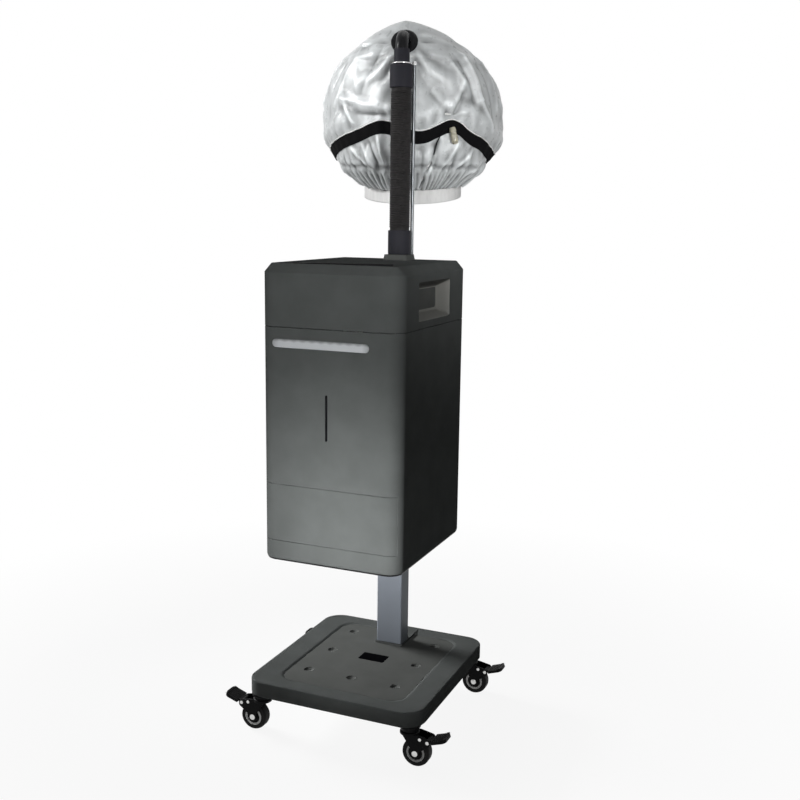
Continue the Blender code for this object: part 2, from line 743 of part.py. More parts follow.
def caster_fork_mesh():
    """Yoke: a round top and two cheeks that run to the axle and to the pedal's pivot."""
    boss = CHEEK_BOSS_RADIUS
    ear = PEDAL_EAR_RADIUS
    cheek = rounded_polygon([
        (PIVOT_X + ear, PIVOT_Z + ear, ear * BOSS_ROUNDING),
        (FORK_TOP_RADIUS, FORK_TOP - RUNNING_GAP, 0),
        (-FORK_TOP_RADIUS + ear, FORK_TOP - RUNNING_GAP, 0),
        (WHEEL_TRAIL - boss, WHEEL_CENTRE + boss, boss),
        (WHEEL_TRAIL - boss, WHEEL_CENTRE - boss, boss * BOSS_ROUNDING),
        (WHEEL_TRAIL + boss, WHEEL_CENTRE - boss, boss * BOSS_ROUNDING),
        (WHEEL_TRAIL + boss, WHEEL_CENTRE + boss / 2, 0),
        (PIVOT_X + ear, PIVOT_Z - ear, ear * BOSS_ROUNDING),
    ], steps=SMALL_ARC_STEPS)
    axle_hole = circle(AXLE_RADIUS + GAP, (WHEEL_TRAIL, WHEEL_CENTRE))
    trunnion_hole = circle(TRUNNION_RADIUS + GAP, (PIVOT_X, PIVOT_Z))
    pin_hole = KING_PIN_RADIUS + GAP
    fork = guide(turned("caster_fork", [
        (FORK_TOP_RADIUS, FORK_TOP),
        (FORK_TOP_RADIUS, FORK_TOP_UNDERSIDE),
        (pin_hole, FORK_TOP_UNDERSIDE),
        (pin_hole, FORK_TOP),
    ], closed=True))
    for side in (-1, 1):
        near, far = sorted((side * CHEEK_INNER, side * CHEEK_OUTER))
        plate = slab("cheek", [cheek, axle_hole, trunnion_hole], -far, -near)
        join(fork, guide(plate, turn=FACE_FRONT))
    return welded(evaluated_mesh(fork))


def caster_wheel_mesh():
    half = WHEEL_WIDTH / 2
    boss_half = half + WHEEL_SIDE_GAP - RUNNING_GAP
    web_half = half - WEB_DISH
    bore = AXLE_RADIUS + GAP
    shoulder = WHEEL_RADIUS - TYRE_SHOULDER
    upper = [
        (bore, boss_half),
        (WHEEL_BOSS_RADIUS, boss_half),
        (WHEEL_BOSS_RADIUS, web_half),
        (RIM_RADIUS, web_half),
        (RIM_RADIUS, half),
        (shoulder, half),
        (WHEEL_RADIUS, half - TYRE_SHOULDER),
    ]
    lower = [(radius, -height) for radius, height in reversed(upper)]
    mesh = turned("caster_wheel", upper + lower, closed=True)
    mesh.transform(Matrix.Rotation(math.pi / 2, 4, "X"))
    return mesh


def caster_axle_mesh():
    cap = CHEEK_OUTER + GAP
    end = cap + AXLE_CAP_THICKNESS
    mesh = turned("caster_axle", [
        (0, end),
        (AXLE_CAP_RADIUS, end),
        (AXLE_CAP_RADIUS, cap),
        (AXLE_RADIUS, cap),
        (AXLE_RADIUS, -cap),
        (AXLE_CAP_RADIUS, -cap),
        (AXLE_CAP_RADIUS, -end),
        (0, -end),
    ], SMALL_ROUND_STEPS)
    mesh.transform(Matrix.Rotation(math.pi / 2, 4, "X"))
    return mesh


def caster_pedal_mesh():
    """Brake lever about its pivot: a barrel between the cheeks, two trunnions and a foot plate."""
    inner = CHEEK_INNER - RUNNING_GAP
    shoulder = PEDAL_EAR_RADIUS + PEDAL_SHOULDER_GAP
    wide = PEDAL_WIDTH / 2
    plate = rounded_polygon([
        (PEDAL_LENGTH, wide, PEDAL_WIDTH / 4),
        (shoulder, wide, PEDAL_SHOULDER_GAP / 2),
        (shoulder, inner, 0),
        (0.0, inner, 0),
        (0.0, -inner, 0),
        (shoulder, -inner, 0),
        (shoulder, -wide, PEDAL_SHOULDER_GAP / 2),
        (PEDAL_LENGTH, -wide, PEDAL_WIDTH / 4),
    ], steps=SMALL_ARC_STEPS)
    pedal = guide(slab("caster_pedal", [plate], -PEDAL_THICKNESS / 2, PEDAL_THICKNESS / 2))
    barrel = turned("pedal_barrel", [
        (0, CHEEK_OUTER),
        (TRUNNION_RADIUS, CHEEK_OUTER),
        (TRUNNION_RADIUS, inner),
        (PEDAL_BARREL_RADIUS, inner),
        (PEDAL_BARREL_RADIUS, -inner),
        (TRUNNION_RADIUS, -inner),
        (TRUNNION_RADIUS, -CHEEK_OUTER),
        (0, -CHEEK_OUTER),
    ], SMALL_ROUND_STEPS)
    join(pedal, guide(barrel, turn=FACE_FRONT))
    return welded(evaluated_mesh(pedal))


def build_casters():
    head = caster_head_mesh()
    fork = caster_fork_mesh()
    wheel = caster_wheel_mesh()
    axle = caster_axle_mesh()
    pedal = caster_pedal_mesh()
    x = BASE_WIDTH / 2 - CASTER_INSET
    y = BASE_DEPTH / 2 - CASTER_INSET
    for name, across, along in (
            ("front_left", -1, -1), ("front_right", 1, -1), ("rear_left", -1, 1), ("rear_right", 1, 1)):
        prefix = "caster_" + name
        outward = 0.0 if across > 0 else math.pi
        swivel = axis_empty(prefix + "_swivel_axis", (across * x, along * y, 0.0), (0, 0, outward))
        stand(prefix + "_head", head, STEEL, at=(across * x, along * y, 0.0))
        stand(prefix + "_fork", fork, BLACK, swivel)
        stand(prefix + "_axle", axle, STEEL, swivel, (WHEEL_TRAIL, 0, WHEEL_CENTRE))
        stand(prefix + "_wheel", wheel, TYRE_BLACK, swivel, (WHEEL_TRAIL, 0, WHEEL_CENTRE))
        stand(prefix + "_pedal", pedal, BLACK, swivel, (PIVOT_X, 0, PIVOT_Z), (0, -math.radians(PEDAL_TILT), 0))


def build_cabinet_shell():
    full = cabinet_outline(0.0, CABINET_RADIUS)
    foot = cabinet_outline(FOOT_CHAMFER, CABINET_RADIUS - FOOT_CHAMFER)
    shell = stand("cabinet_shell", loft("cabinet_shell", [
        level_ring(foot, CABINET_BOTTOM),
        level_ring(full, CABINET_BOTTOM + FOOT_CHAMFER),
        level_ring(full, SEAM - SEAM_GAP),
    ], cap_start=True), CASING)
    thicken(shell, CABINET_WALL)
    drawer_bottom = CABINET_BOTTOM + DRAWER_LEVEL
    cut(shell, guide(block(
        "drawer_opening",
        (-CABINET_WIDTH, CABINET_FRONT - CUT_OVERRUN, drawer_bottom),
        (CABINET_WIDTH, CABINET_FRONT + DRAWER_FRONT_THICKNESS, drawer_bottom + DRAWER_HEIGHT))))
    reach = CABINET_WALL + CUT_OVERRUN
    bar_at = (LIGHT_BAR_X, CABINET_FRONT, CABINET_BOTTOM + LIGHT_BAR_LEVEL)
    bar_slot = slab("light_bar_slot", [light_bar_outline(0.0)], -reach, reach)
    cut(shell, guide(bar_slot, at=bar_at, turn=FACE_FRONT))
    window_at = (WINDOW_X, CABINET_FRONT, CABINET_BOTTOM + WINDOW_LEVEL)
    window_slot = slab("window_slot", [window_outline(0.0)], -reach, reach)
    cut(shell, guide(window_slot, at=window_at, turn=FACE_FRONT))
    panel = rounded_rectangle(REAR_PANEL_WIDTH, REAR_PANEL_HEIGHT, REAR_PANEL_RADIUS)
    panel_at = (0.0, CABINET_BACK, CABINET_BOTTOM + REAR_PANEL_LEVEL)
    cut(shell, guide(slab("rear_opening", [panel], -reach, reach), at=panel_at, turn=FACE_BACK))


def light_bar_outline(inset):
    height = LIGHT_BAR_HEIGHT - 2 * inset
    return rounded_rectangle(LIGHT_BAR_LENGTH - 2 * inset, height, height * ROUND_END)


def window_outline(inset):
    width = WINDOW_WIDTH - 2 * inset
    return rounded_rectangle(width, WINDOW_HEIGHT - 2 * inset, width * ROUND_END)


def build_front_features():
    bar_at = (LIGHT_BAR_X, CABINET_FRONT, CABINET_BOTTOM + LIGHT_BAR_LEVEL)
    back = LIGHT_BAR_PROUD - LIGHT_BAR_DEPTH
    stand("light_bar", slab("light_bar", [light_bar_outline(GAP)], back, LIGHT_BAR_PROUD), LENS,
          at=bar_at, turn=FACE_FRONT)
    board = rounded_rectangle(LIGHT_BAR_LENGTH, BOARD_HEIGHT, LIGHT_BAR_HEIGHT / 4)
    board_front = back - GAP
    board_back = board_front - BOARD_THICKNESS
    stand("control_board", slab("control_board", [board], board_back, board_front), BOARD_GREEN,
          at=bar_at, turn=FACE_FRONT)
    window_at = (WINDOW_X, CABINET_FRONT, CABINET_BOTTOM + WINDOW_LEVEL)
    stand("level_window", slab("level_window", [window_outline(GAP)], -WINDOW_DEPTH, -WINDOW_DROP), DARK_GLASS,
          at=window_at, turn=FACE_FRONT)


def build_drawer():
    """Front, tray, tank and cap, all on one axis that slides towards the front."""
    bottom = CABINET_BOTTOM + DRAWER_LEVEL
    front_back = CABINET_FRONT + DRAWER_FRONT_THICKNESS
    slide = axis_empty("drawer_slide_axis", (0.0, CABINET_FRONT, bottom))
    outline = cabinet_outline(0.0, CABINET_RADIUS)
    front = stand("drawer_front", slab(
        "drawer_front", [outline], SEAM_GAP, DRAWER_HEIGHT - SEAM_GAP), CASING, slide, (0, -CABINET_FRONT, 0))
    keep = block(
        "drawer_front_keep",
        (-CABINET_WIDTH, CABINET_FRONT - CUT_OVERRUN, -CUT_OVERRUN),
        (CABINET_WIDTH, front_back - SEAM_GAP, DRAWER_HEIGHT + CUT_OVERRUN))
    combine(front, guide(keep, slide, (0, -CABINET_FRONT, 0)), "INTERSECT")

    tray_start = DRAWER_FRONT_THICKNESS - SEAM_GAP + GAP
    tray_middle = (0.0, tray_start + TRAY_LENGTH / 2)
    tray_outline = rounded_rectangle(TRAY_WIDTH, TRAY_LENGTH, TRAY_RADIUS, tray_middle)
    tray = stand("drawer_tray", loft("drawer_tray", [
        level_ring(tray_outline, TRAY_RISE),
        level_ring(tray_outline, TRAY_RISE + TRAY_HEIGHT),
    ], cap_start=True), TRIM_GREY, slide)
    thicken(tray, TRAY_WALL)

    tank_bottom = TRAY_RISE + TRAY_WALL + GAP
    tank_top = tank_bottom + TANK_HEIGHT
    tank_outline = rounded_rectangle(TANK_WIDTH, TANK_LENGTH, TANK_RADIUS, tray_middle)
    cavity = rounded_rectangle(
        TANK_WIDTH - 2 * TANK_WALL, TANK_LENGTH - 2 * TANK_WALL, TANK_RADIUS - TANK_WALL, tray_middle)
    tank = stand("water_tank", slab("water_tank", [tank_outline], tank_bottom, tank_top), CLEAR_PLASTIC, slide)
    cut(tank, guide(slab("tank_cavity", [cavity], tank_bottom + TANK_WALL, tank_top - TANK_WALL), slide))
    filler = cylinder("tank_filler", FILLER_RADIUS, tank_top - 2 * TANK_WALL, tank_top + CUT_OVERRUN)
    cut(tank, guide(filler, slide, (*tray_middle, 0.0)))
    plug = FILLER_RADIUS - GAP
    flange = FILLER_RADIUS + CAP_FLANGE
    cap_bottom = tank_top + GAP
    cap = turned("tank_cap", [
        (0, cap_bottom + CAP_HEIGHT),
        (FILLER_RADIUS, cap_bottom + CAP_HEIGHT),
        (FILLER_RADIUS, cap_bottom + CAP_FLANGE),
        (flange, cap_bottom + CAP_FLANGE),
        (flange, cap_bottom),
        (plug, cap_bottom),
        (plug, cap_bottom - CAP_PLUG),
        (0, cap_bottom - CAP_PLUG),
    ])
    stand("tank_cap", cap, BLACK, slide, (*tray_middle, 0.0))

    deck_bottom = CABINET_FLOOR + GAP
    deck_outline = rounded_rectangle(
        TRAY_WIDTH, TRAY_LENGTH, TRAY_RADIUS, (0.0, CABINET_FRONT + tray_middle[1]))
    deck = stand("drawer_deck", slab(
        "drawer_deck", [deck_outline], deck_bottom, deck_bottom + DECK_THICKNESS), STEEL)
    rail_top = bottom + TRAY_RISE - GAP
    for side in (-1, 1):
        outer = side * (TRAY_WIDTH / 2 - RAIL_INSET)
        near, far = sorted((outer, outer - side * RAIL_WIDTH))
        start = CABINET_FRONT + tray_start + TRAY_RADIUS
        join(deck, guide(block(
            "drawer_rail", (near, start, deck_bottom), (far, start + TRAY_LENGTH - 2 * TRAY_RADIUS, rail_top))))


def build_top_cover():
    full = cabinet_outline(0.0, CABINET_RADIUS)
    crown = cabinet_outline(TOP_CHAMFER_INSET, CABINET_RADIUS - TOP_CHAMFER_INSET)
    cover = stand("top_cover", loft("top_cover", [
        level_ring(full, SEAM),
        level_ring(full, CHAMFER_START),
        level_ring(crown, CABINET_TOP),
    ], cap_end=True), CASING)
    thicken(cover, CABINET_WALL)
    opening = cabinet_outline(TOP_CHAMFER_INSET + TOP_RIM, CABINET_RADIUS / 4)
    cut(cover, guide(slab(
        "panel_opening", [opening], CABINET_TOP - CABINET_WALL - CUT_OVERRUN, CABINET_TOP + CUT_OVERRUN)))
    handle = rounded_rectangle(HANDLE_HEIGHT, HANDLE_LENGTH, HANDLE_RADIUS)
    reach = CABINET_WALL + CUT_OVERRUN
    for side in (-1, 1):
        at = (side * CABINET_WIDTH / 2, HANDLE_Y, SEAM + HANDLE_ABOVE_SEAM + HANDLE_HEIGHT / 2)
        cut(cover, guide(slab("handle_opening", [handle], -reach, reach), at=at, turn=(0, math.pi / 2, 0)))

    fitted = cabinet_outline(TOP_CHAMFER_INSET + TOP_RIM + SEAM_GAP, CABINET_RADIUS / 4 - SEAM_GAP)
    duct_hole = circle(DUCT_RADIUS + RUNNING_GAP, (TUBE_X, TUBE_Y), FINE_STEPS)
    rod_hole = circle(ROD_RADIUS + GAP, (TUBE_X + ROD_OFFSET, TUBE_Y + ROD_OFFSET), ROUND_STEPS)
    panel_bottom = TOP_PANEL_TOP - TOP_PANEL_THICKNESS
    stand("top_panel", slab("top_panel", [fitted, duct_hole, rod_hole], panel_bottom, TOP_PANEL_TOP), TRIM_GREY)


def build_handle_cups():
    """Drafted pockets: the mouth lies in the casing wall and the floor inside it."""
    fit = HANDLE_CUP_GAP + HANDLE_CUP_WALL
    mouth = rounded_rectangle(HANDLE_LENGTH - 2 * fit, HANDLE_HEIGHT - 2 * fit, HANDLE_RADIUS)
    inner = fit + HANDLE_DRAFT
    floor = rounded_rectangle(HANDLE_LENGTH - 2 * inner, HANDLE_HEIGHT - 2 * inner, HANDLE_RADIUS)
    rings = [
        [(0.0, y, z) for y, z in mouth],
        [(-HANDLE_POCKET_DEPTH, y, z) for y, z in floor],
    ]
    level = SEAM + HANDLE_ABOVE_SEAM + HANDLE_HEIGHT / 2
    for name, side, turn in (("handle_cup_right", 1, 0.0), ("handle_cup_left", -1, math.pi)):
        mesh = loft(name, rings, cap_end=True)
        cup = stand(name, mesh, TRIM_GREY, at=(side * CABINET_WIDTH / 2, HANDLE_Y, level), turn=(0, 0, turn))
        thicken(cup, HANDLE_CUP_WALL)


def build_equipment():
    """Shelf, boiler, duct, blower and pump inside the casing."""
    fit = CABINET_WALL + GAP
    shelf = cabinet_outline(fit, CABINET_RADIUS - fit)
    stand("equipment_shelf", slab("equipment_shelf", [shelf], SHELF_TOP - SHELF_THICKNESS, SHELF_TOP), STEEL)

    boiler_y = CABINET_FRONT + WINDOW_DEPTH + GAP + BOILER_RADIUS
    bottom = SHELF_TOP + GAP
    shoulder = bottom + BOILER_HEIGHT
    neck = shoulder + BOILER_SHOULDER
    mouth = neck + BOILER_NECK_HEIGHT
    boiler = turned("boiler", [
        (DUCT_RADIUS, mouth),
        (DUCT_RADIUS, neck),
        (BOILER_RADIUS - BOILER_SHOULDER, neck - BOILER_SHOULDER / 4),
        (BOILER_RADIUS, shoulder),
        (BOILER_RADIUS, bottom),
        (0, bottom),
        (0, bottom + BOILER_WALL),
        (BOILER_RADIUS - BOILER_WALL, bottom + BOILER_WALL),
        (BOILER_RADIUS - BOILER_WALL, shoulder - BOILER_WALL),
        (BOILER_RADIUS - BOILER_SHOULDER, neck - BOILER_SHOULDER / 4 - BOILER_WALL),
        (DUCT_BORE, neck - BOILER_WALL),
        (DUCT_BORE, mouth),
    ], closed=True)
    stand("boiler", boiler, STEEL, at=(WINDOW_X, boiler_y, 0.0))

    def duct_path(overrun):
        start = Vector((WINDOW_X, boiler_y, mouth + GAP + DUCT_LEAD))
        end = Vector((TUBE_X, TUBE_Y, COLLAR_BOTTOM - GAP - DUCT_LEAD))
        lead = Vector((0, 0, DUCT_LEAD + overrun))
        points = [start - lead]
        for step in range(DUCT_POINTS):
            share = step / (DUCT_POINTS - 1)
            ease = share * share * (3 - 2 * share)
            points.append(Vector((
                start.x + (end.x - start.x) * ease,
                start.y + (end.y - start.y) * ease,
                start.z + (end.z - start.z) * share)))
        points.append(end + lead)
        return points

    duct = stand("steam_duct", pipe("steam_duct", duct_path(0.0), DUCT_RADIUS, COARSE_PIPE_STEPS), SILICONE)
    cut(duct, guide(pipe("duct_bore", duct_path(CUT_OVERRUN), DUCT_BORE, COARSE_PIPE_STEPS)))

    blower_at = (BLOWER_X, BLOWER_Y, SHELF_TOP + GAP)
    motor_hole = MOTOR_RADIUS + GAP
    inner = BLOWER_RADIUS - BLOWER_WALL
    stand("blower_housing", turned("blower_housing", [
        (BLOWER_RADIUS, BLOWER_HEIGHT),
        (BLOWER_RADIUS, 0),
        (motor_hole, 0),
        (motor_hole, BLOWER_WALL),
        (inner, BLOWER_WALL),
        (inner, BLOWER_HEIGHT),
    ], closed=True), BLACK, at=blower_at)
    shaft_top = MOTOR_HEIGHT + SHAFT_LENGTH
    stand("fan_motor", turned("fan_motor", [
        (0, shaft_top),
        (SHAFT_RADIUS, shaft_top),
        (SHAFT_RADIUS, MOTOR_HEIGHT),
        (MOTOR_RADIUS, MOTOR_HEIGHT),
        (MOTOR_RADIUS, 0),
        (0, 0),
    ]), STEEL, at=blower_at)
    disc_bottom = MOTOR_HEIGHT + FAN_RISE
    disc_top = disc_bottom + FAN_DISC
    bore = SHAFT_RADIUS + GAP
    fan = stand("fan_wheel", turned("fan_wheel", [
        (bore, shaft_top),
        (FAN_HUB_RADIUS, shaft_top),
        (FAN_HUB_RADIUS, disc_top),
        (FAN_RADIUS, disc_top),
        (FAN_RADIUS, disc_bottom),
        (FAN_HUB_RADIUS, disc_bottom),
        (FAN_HUB_RADIUS, MOTOR_HEIGHT + GAP),
        (bore, MOTOR_HEIGHT + GAP),
    ], closed=True), BLACK, at=blower_at)
    blades = []
    for index in range(FAN_BLADES):
        outer = FAN_RADIUS - FAN_BLADE_THICKNESS
        blade = block(
            "fan_blade",
            (outer - FAN_BLADE_LENGTH, -FAN_BLADE_THICKNESS / 2, disc_bottom + FAN_DISC / 2),
            (outer, FAN_BLADE_THICKNESS / 2, disc_top + FAN_BLADE_HEIGHT))
        blade.transform(Matrix.Rotation(math.tau * index / FAN_BLADES, 4, "Z"))
        blades.append(blade)
    join(fan, guide(combined("fan_blades", blades), at=blower_at))

    head_top = PUMP_HEIGHT + PUMP_HEAD_HEIGHT
    stand("water_pump", turned("water_pump", [
        (0, head_top + PUMP_SPOUT_RADIUS * 3),
        (PUMP_SPOUT_RADIUS, head_top + PUMP_SPOUT_RADIUS * 3),
        (PUMP_SPOUT_RADIUS, head_top),
        (PUMP_HEAD_RADIUS, head_top),
        (PUMP_HEAD_RADIUS, PUMP_HEIGHT),
        (PUMP_RADIUS, PUMP_HEIGHT),
        (PUMP_RADIUS, 0),
        (0, 0),
    ]), STEEL, at=(PUMP_X, PUMP_Y, SHELF_TOP + GAP))


def build_back():
    """Rear service panel with its air slots, power socket and switch."""
    panel_at = (0.0, CABINET_BACK, CABINET_BOTTOM + REAR_PANEL_LEVEL)
    panel = rounded_rectangle(REAR_PANEL_WIDTH - 2 * GAP, REAR_PANEL_HEIGHT - 2 * GAP, REAR_PANEL_RADIUS - GAP)
    vents = []
    for index in range(VENT_COUNT):
        level = VENT_LEVEL - REAR_PANEL_LEVEL + (index - (VENT_COUNT - 1) / 2) * VENT_PITCH
        vents.append(rounded_rectangle(VENT_LENGTH, VENT_WIDTH, VENT_WIDTH * ROUND_END, (0.0, level)))
    low = INLET_LEVEL - REAR_PANEL_LEVEL
    inlet_hole = rounded_rectangle(INLET_WIDTH, INLET_HEIGHT, INLET_RADIUS, (INLET_X, low))
    switch_hole = rounded_rectangle(SWITCH_WIDTH, SWITCH_HEIGHT, INLET_RADIUS / 4, (SWITCH_X, low))
    stand("rear_panel", slab(
        "rear_panel", [panel, inlet_hole, switch_hole] + vents, -CABINET_WALL, 0.0), CASING,
        at=panel_at, turn=FACE_BACK)

    inlet = rounded_rectangle(INLET_WIDTH - 2 * GAP, INLET_HEIGHT - 2 * GAP, INLET_RADIUS - GAP, (INLET_X, low))
    socket = rounded_rectangle(SOCKET_WIDTH, SOCKET_HEIGHT, INLET_RADIUS, (INLET_X, low))
    body = stand("mains_inlet", slab("mains_inlet", [inlet], -INLET_DEPTH, RUNNING_GAP), BLACK,
                 at=panel_at, turn=FACE_BACK)
    cut(body, guide(slab("socket_recess", [socket], -SOCKET_DEPTH, CUT_OVERRUN), at=panel_at, turn=FACE_BACK))

    swing = math.radians(SWITCH_SWING)
    raised = SWITCH_PIVOT_DEPTH + SWITCH_PROUD
    half = SWITCH_HEIGHT / 2 - RUNNING_GAP - raised * math.sin(swing)
    pressed = raised - half * math.tan(swing)
    face = rounded_polygon([
        (pressed, half, RUNNING_GAP),
        (-SWITCH_KEEL, half / 2, RUNNING_GAP),
        (-SWITCH_KEEL, -half / 2, RUNNING_GAP),
        (raised, -half, RUNNING_GAP),
        (pressed, 0.0, 0),
    ])
    width = SWITCH_WIDTH / 2 - GAP
    rocker = slab("rocker_switch", [face], -width, width)
    rocker.transform(Matrix.Rotation(math.pi / 2, 4, "Y"))
    rocker.transform(Matrix.Rotation(-math.pi / 2, 4, "X"))
    switch_level = CABINET_BOTTOM + INLET_LEVEL
    stand("rocker_switch", rocker, BLACK, at=(-SWITCH_X, CABINET_BACK - SWITCH_PIVOT_DEPTH, switch_level))


def build_hose():
    """Collar, cuffs and ribbed hose round the tube's axis."""
    axis = (TUBE_X, TUBE_Y, 0.0)
    half = ROD_OFFSET + ROD_RADIUS + GAP + COLLAR_EDGE
    wide = half + COLLAR_FLARE
    top = rounded_rectangle(2 * half, 2 * half, COLLAR_RADIUS, steps=ARC_STEPS)
    foot = rounded_rectangle(2 * wide, 2 * wide, COLLAR_RADIUS + COLLAR_FLARE, steps=ARC_STEPS)
    collar = stand("hose_collar", loft("hose_collar", [
        level_ring(foot, COLLAR_BOTTOM),
        level_ring(top, COLLAR_TOP),
    ], cap_start=True, cap_end=True), TRIM_GREY, at=axis)
    low = COLLAR_BOTTOM - CUT_OVERRUN
    high = COLLAR_TOP + CUT_OVERRUN
    cut(collar, guide(cylinder("collar_bore", HOSE_BORE, low, high), at=axis))
    rod_at = (TUBE_X + ROD_OFFSET, TUBE_Y + ROD_OFFSET, 0.0)
    cut(collar, guide(cylinder("rod_socket", ROD_RADIUS + GAP, low, high), at=rod_at))

    stand("lower_cuff", turned("lower_cuff", [
        (CUFF_RADIUS, LOWER_CUFF_TOP),
        (CUFF_RADIUS, LOWER_CUFF_BOTTOM),
        (HOSE_BORE, LOWER_CUFF_BOTTOM),
        (HOSE_BORE, LOWER_CUFF_TOP),
    ], closed=True), BLACK, at=axis)

    pitch = (HOSE_LENGTH - 2 * HOSE_PLAIN_END) / RIB_COUNT
    root = HOSE_RADIUS - HOSE_RIB_DEPTH
    profile = [(root, HOSE_TOP)]
    for index in range(RIB_COUNT):
        crest = HOSE_TOP - HOSE_PLAIN_END - index * pitch
        profile.append((root, crest))
        profile.append((HOSE_RADIUS, crest - pitch / 2))
    profile.append((root, HOSE_BOTTOM + HOSE_PLAIN_END))
    profile.append((root, HOSE_BOTTOM))
    profile.append((HOSE_BORE, HOSE_BOTTOM))
    profile.append((HOSE_BORE, HOSE_TOP))
    stand("steam_hose", turned("steam_hose", profile, SMALL_ROUND_STEPS, closed=True), HOSE_BLACK, at=axis)


def build_mast():
    """Rod, ring and upper cuff, which slide up and down together."""
    slide = axis_empty("mast_slide_axis", (TUBE_X, TUBE_Y, 0.0))
    rod_place = (ROD_OFFSET, ROD_OFFSET, 0.0)
    ear_bottom = RING_LEVEL - RING_WIRE
    stand("support_rod", cylinder("support_rod", ROD_RADIUS, ROD_BOTTOM, ear_bottom - GAP), CHROME,
          slide, rod_place)

    socket = NECK_RADIUS + RUNNING_GAP
    shelf = UPPER_CUFF_TOP - NECK_INSERT
    stand("upper_cuff", turned("upper_cuff", [
        (CUFF_RADIUS, UPPER_CUFF_TOP),
        (CUFF_RADIUS, UPPER_CUFF_BOTTOM),
        (HOSE_BORE, UPPER_CUFF_BOTTOM),
        (HOSE_BORE, shelf),
        (socket, shelf),
        (socket, UPPER_CUFF_TOP),
    ], closed=True), BLACK, slide)

    ring_radius = NECK_RADIUS + RUNNING_GAP + RING_WIRE
    bpy.ops.mesh.primitive_torus_add(
        major_radius=ring_radius, minor_radius=RING_WIRE, major_segments=ROUND_STEPS, minor_segments=RING_SIDES)
    torus = bpy.context.active_object
    ring_mesh = mesh_of(torus)
    ring_mesh.transform(Matrix.Translation((0, 0, RING_LEVEL)))
    ring = stand("rod_ring", ring_mesh, CHROME, slide)
    across = math.sqrt(0.5)
    arm = [(across * ring_radius, across * ring_radius, RING_LEVEL), (ROD_OFFSET, ROD_OFFSET, RING_LEVEL)]
    join(ring, guide(pipe("ring_arm", arm, RING_WIRE * BOSS_ROUNDING, COARSE_PIPE_STEPS), slide))
    join(ring, guide(cylinder(
        "ring_ear", RING_EAR_RADIUS, ear_bottom, ear_bottom + RING_EAR_HEIGHT), slide, rod_place))


def hood_section(level, inset):
    """Radius, middle and slope of the hood's section at a level. The middle is measured from the tube."""
    belly_radius = HOOD_RADIUS - inset
    peak = HOOD_PEAK - inset
    if level >= HOOD_BELLY:
        rise = min(1.0, (level - HOOD_BELLY) / (peak - HOOD_BELLY))
        radius = belly_radius * (1 - rise * rise) ** HOOD_CROWN_POWER
        lean = max(0.0, level - HOOD_LEAN_START) * math.tan(HUB_LEAN)
        return radius, HOOD_FRONT_GAP + inset + lean + radius, 0.0
    drop = min(1.0, (HOOD_BELLY - level) / HOOD_HEM_BELOW_BELLY)
    hem_radius = HOOD_HEM_RADIUS - inset
    radius = belly_radius - (belly_radius - hem_radius) * drop ** HOOD_SKIRT_POWER
    slope = math.tan(math.radians(HOOD_HEM_TILT)) * drop
    return radius, HOOD_FRONT_GAP + HOOD_RADIUS, slope


def gather_share(level):
    """How deep the hem's gathers are at a level, as a share of the radius."""
    drop = min(1.0, max(0.0, (HOOD_BELLY - level) / HOOD_HEM_BELOW_BELLY))
    return HOOD_GATHER_SHARE * drop ** HOOD_GATHER_POWER


def hood_ring(level, inset, segments, gathered):
    """The hood's section as points, the first on the side away from the tube."""
    radius, middle, slope = hood_section(level, inset)
    share = gather_share(level)
    points = []
    for index in range(segments):
        angle = math.tau * index / segments
        wave = math.cos(HOOD_GATHERS * angle) if gathered else -1.0
        reach = radius * (1 + share * wave)
        along = reach * math.cos(angle)
        points.append((middle + along, reach * math.sin(angle), level + slope * along))
    return points


def hood_levels(inset):
    """Levels of the hood's sections, from the hem to the peak."""
    levels = []
    for step in range(HOOD_SKIRT_RINGS):
        levels.append(HOOD_HEM + HOOD_HEM_BELOW_BELLY * step / HOOD_SKIRT_RINGS)
    for step in range(HOOD_CROWN_RINGS + 1):
        rise = math.sin(math.pi / 2 * step / HOOD_CROWN_RINGS)
        levels.append(HOOD_BELLY + (HOOD_PEAK - inset - HOOD_BELLY) * rise)
    return levels


